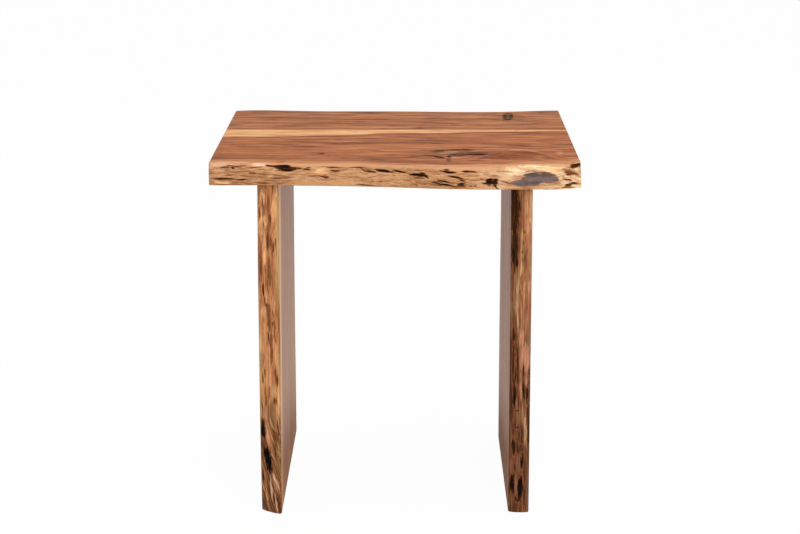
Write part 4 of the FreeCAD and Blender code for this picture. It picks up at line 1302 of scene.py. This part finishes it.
FLOOR_SIZE = 60.0
FLOOR_DROP = -0.0002          # just clear of the glides
FLOOR_GREY = (0.90, 0.90, 0.90, 1)
WHITE = (1, 1, 1, 1)
WORLD_LIGHT = 0.62
SEEN_WHITE = 1.0
FLOOR_WHITE = 0.97            # share of plain white the floor shows; the rest carries the shadow
CAMERA_SENSOR = 36.0          # millimetres, as the lens is
CAMERA_LENS = 96.6
CAMERA_PLACE = (0.0285, -3.730, 1.2248)
CAMERA_PITCH = 12.844         # degrees below level
CAMERA_TURN = 0.33            # degrees towards the left of the table


def seen_directly(graph):
    """1 for rays that show the background itself: from the camera, a reflection or through glass."""
    rays = graph.node("ShaderNodeLightPath").outputs
    return graph.larger(
        graph.larger(rays["Is Camera Ray"], rays["Is Glossy Ray"]), rays["Is Transmission Ray"])


def white_world():
    """Even light from all round, behind which the background shows plain white."""
    world = bpy.data.worlds.new("studio_white")
    bpy.context.scene.world = world
    world.use_nodes = True
    world.node_tree.nodes.clear()
    graph = Graph(world.node_tree)
    lit = graph.node("ShaderNodeBackground", {"Color": WHITE, "Strength": WORLD_LIGHT})
    shown = graph.node("ShaderNodeBackground", {"Color": WHITE, "Strength": SEEN_WHITE})
    mixed = graph.node("ShaderNodeMixShader", {
        0: seen_directly(graph), 1: lit.outputs[0], 2: shown.outputs[0]})
    graph.node("ShaderNodeOutputWorld", {"Surface": mixed.outputs[0]})


def white_floor():
    """Pale floor that shows white to the camera but keeps the soft shadow of the table."""
    half = FLOOR_SIZE / 2
    corners = [(x, y, FLOOR_DROP) for x, y in ((-half, -half), (half, -half), (half, half), (-half, half))]
    mesh = bpy.data.meshes.new("floor")
    mesh.from_pydata(corners, [], [(0, 1, 2, 3)])
    floor = bpy.data.objects.new("floor", mesh)
    bpy.context.scene.collection.objects.link(floor)
    material = bpy.data.materials.new("floor_white")
    material.use_nodes = True
    material.node_tree.nodes.clear()
    graph = Graph(material.node_tree)
    lit = graph.node("ShaderNodeBsdfDiffuse", {"Color": FLOOR_GREY})
    shown = graph.node("ShaderNodeEmission", {"Color": WHITE, "Strength": SEEN_WHITE})
    share = graph.times(seen_directly(graph), FLOOR_WHITE)
    mixed = graph.node("ShaderNodeMixShader", {0: share, 1: lit.outputs[0], 2: shown.outputs[0]})
    graph.node("ShaderNodeOutputMaterial", {"Surface": mixed.outputs[0]})
    mesh.materials.append(material)


def softbox(name, place, target, size, power):
    """Square area lamp that faces a point of the table."""
    lamp = bpy.data.lights.new(name, "AREA")
    lamp.shape = "SQUARE"
    lamp.size = size
    lamp.energy = power
    holder = bpy.data.objects.new(name, lamp)
    bpy.context.scene.collection.objects.link(holder)
    holder.location = place
    holder.rotation_euler = (Vector(target) - Vector(place)).to_track_quat("-Z", "Y").to_euler()


def photo_camera():
    """Camera at the viewing angle of the photograph."""
    camera = bpy.data.cameras.new("photo_camera")
    camera.sensor_width = CAMERA_SENSOR
    camera.lens = CAMERA_LENS
    holder = bpy.data.objects.new("photo_camera", camera)
    bpy.context.scene.collection.objects.link(holder)
    holder.location = CAMERA_PLACE
    holder.rotation_euler = (math.pi / 2 - math.radians(CAMERA_PITCH), 0, math.radians(CAMERA_TURN))
    bpy.context.scene.camera = holder


white_world()
white_floor()
softbox("front_softbox", place=(0.9, -3.6, 1.9), target=(0, 0, 0.35), size=2.6, power=102)
softbox("top_softbox", place=(0.4, 0.3, 3.2), target=(0, 0, 0.5), size=2.6, power=18)
photo_camera()
bpy.context.scene.view_settings.view_transform = "Standard"
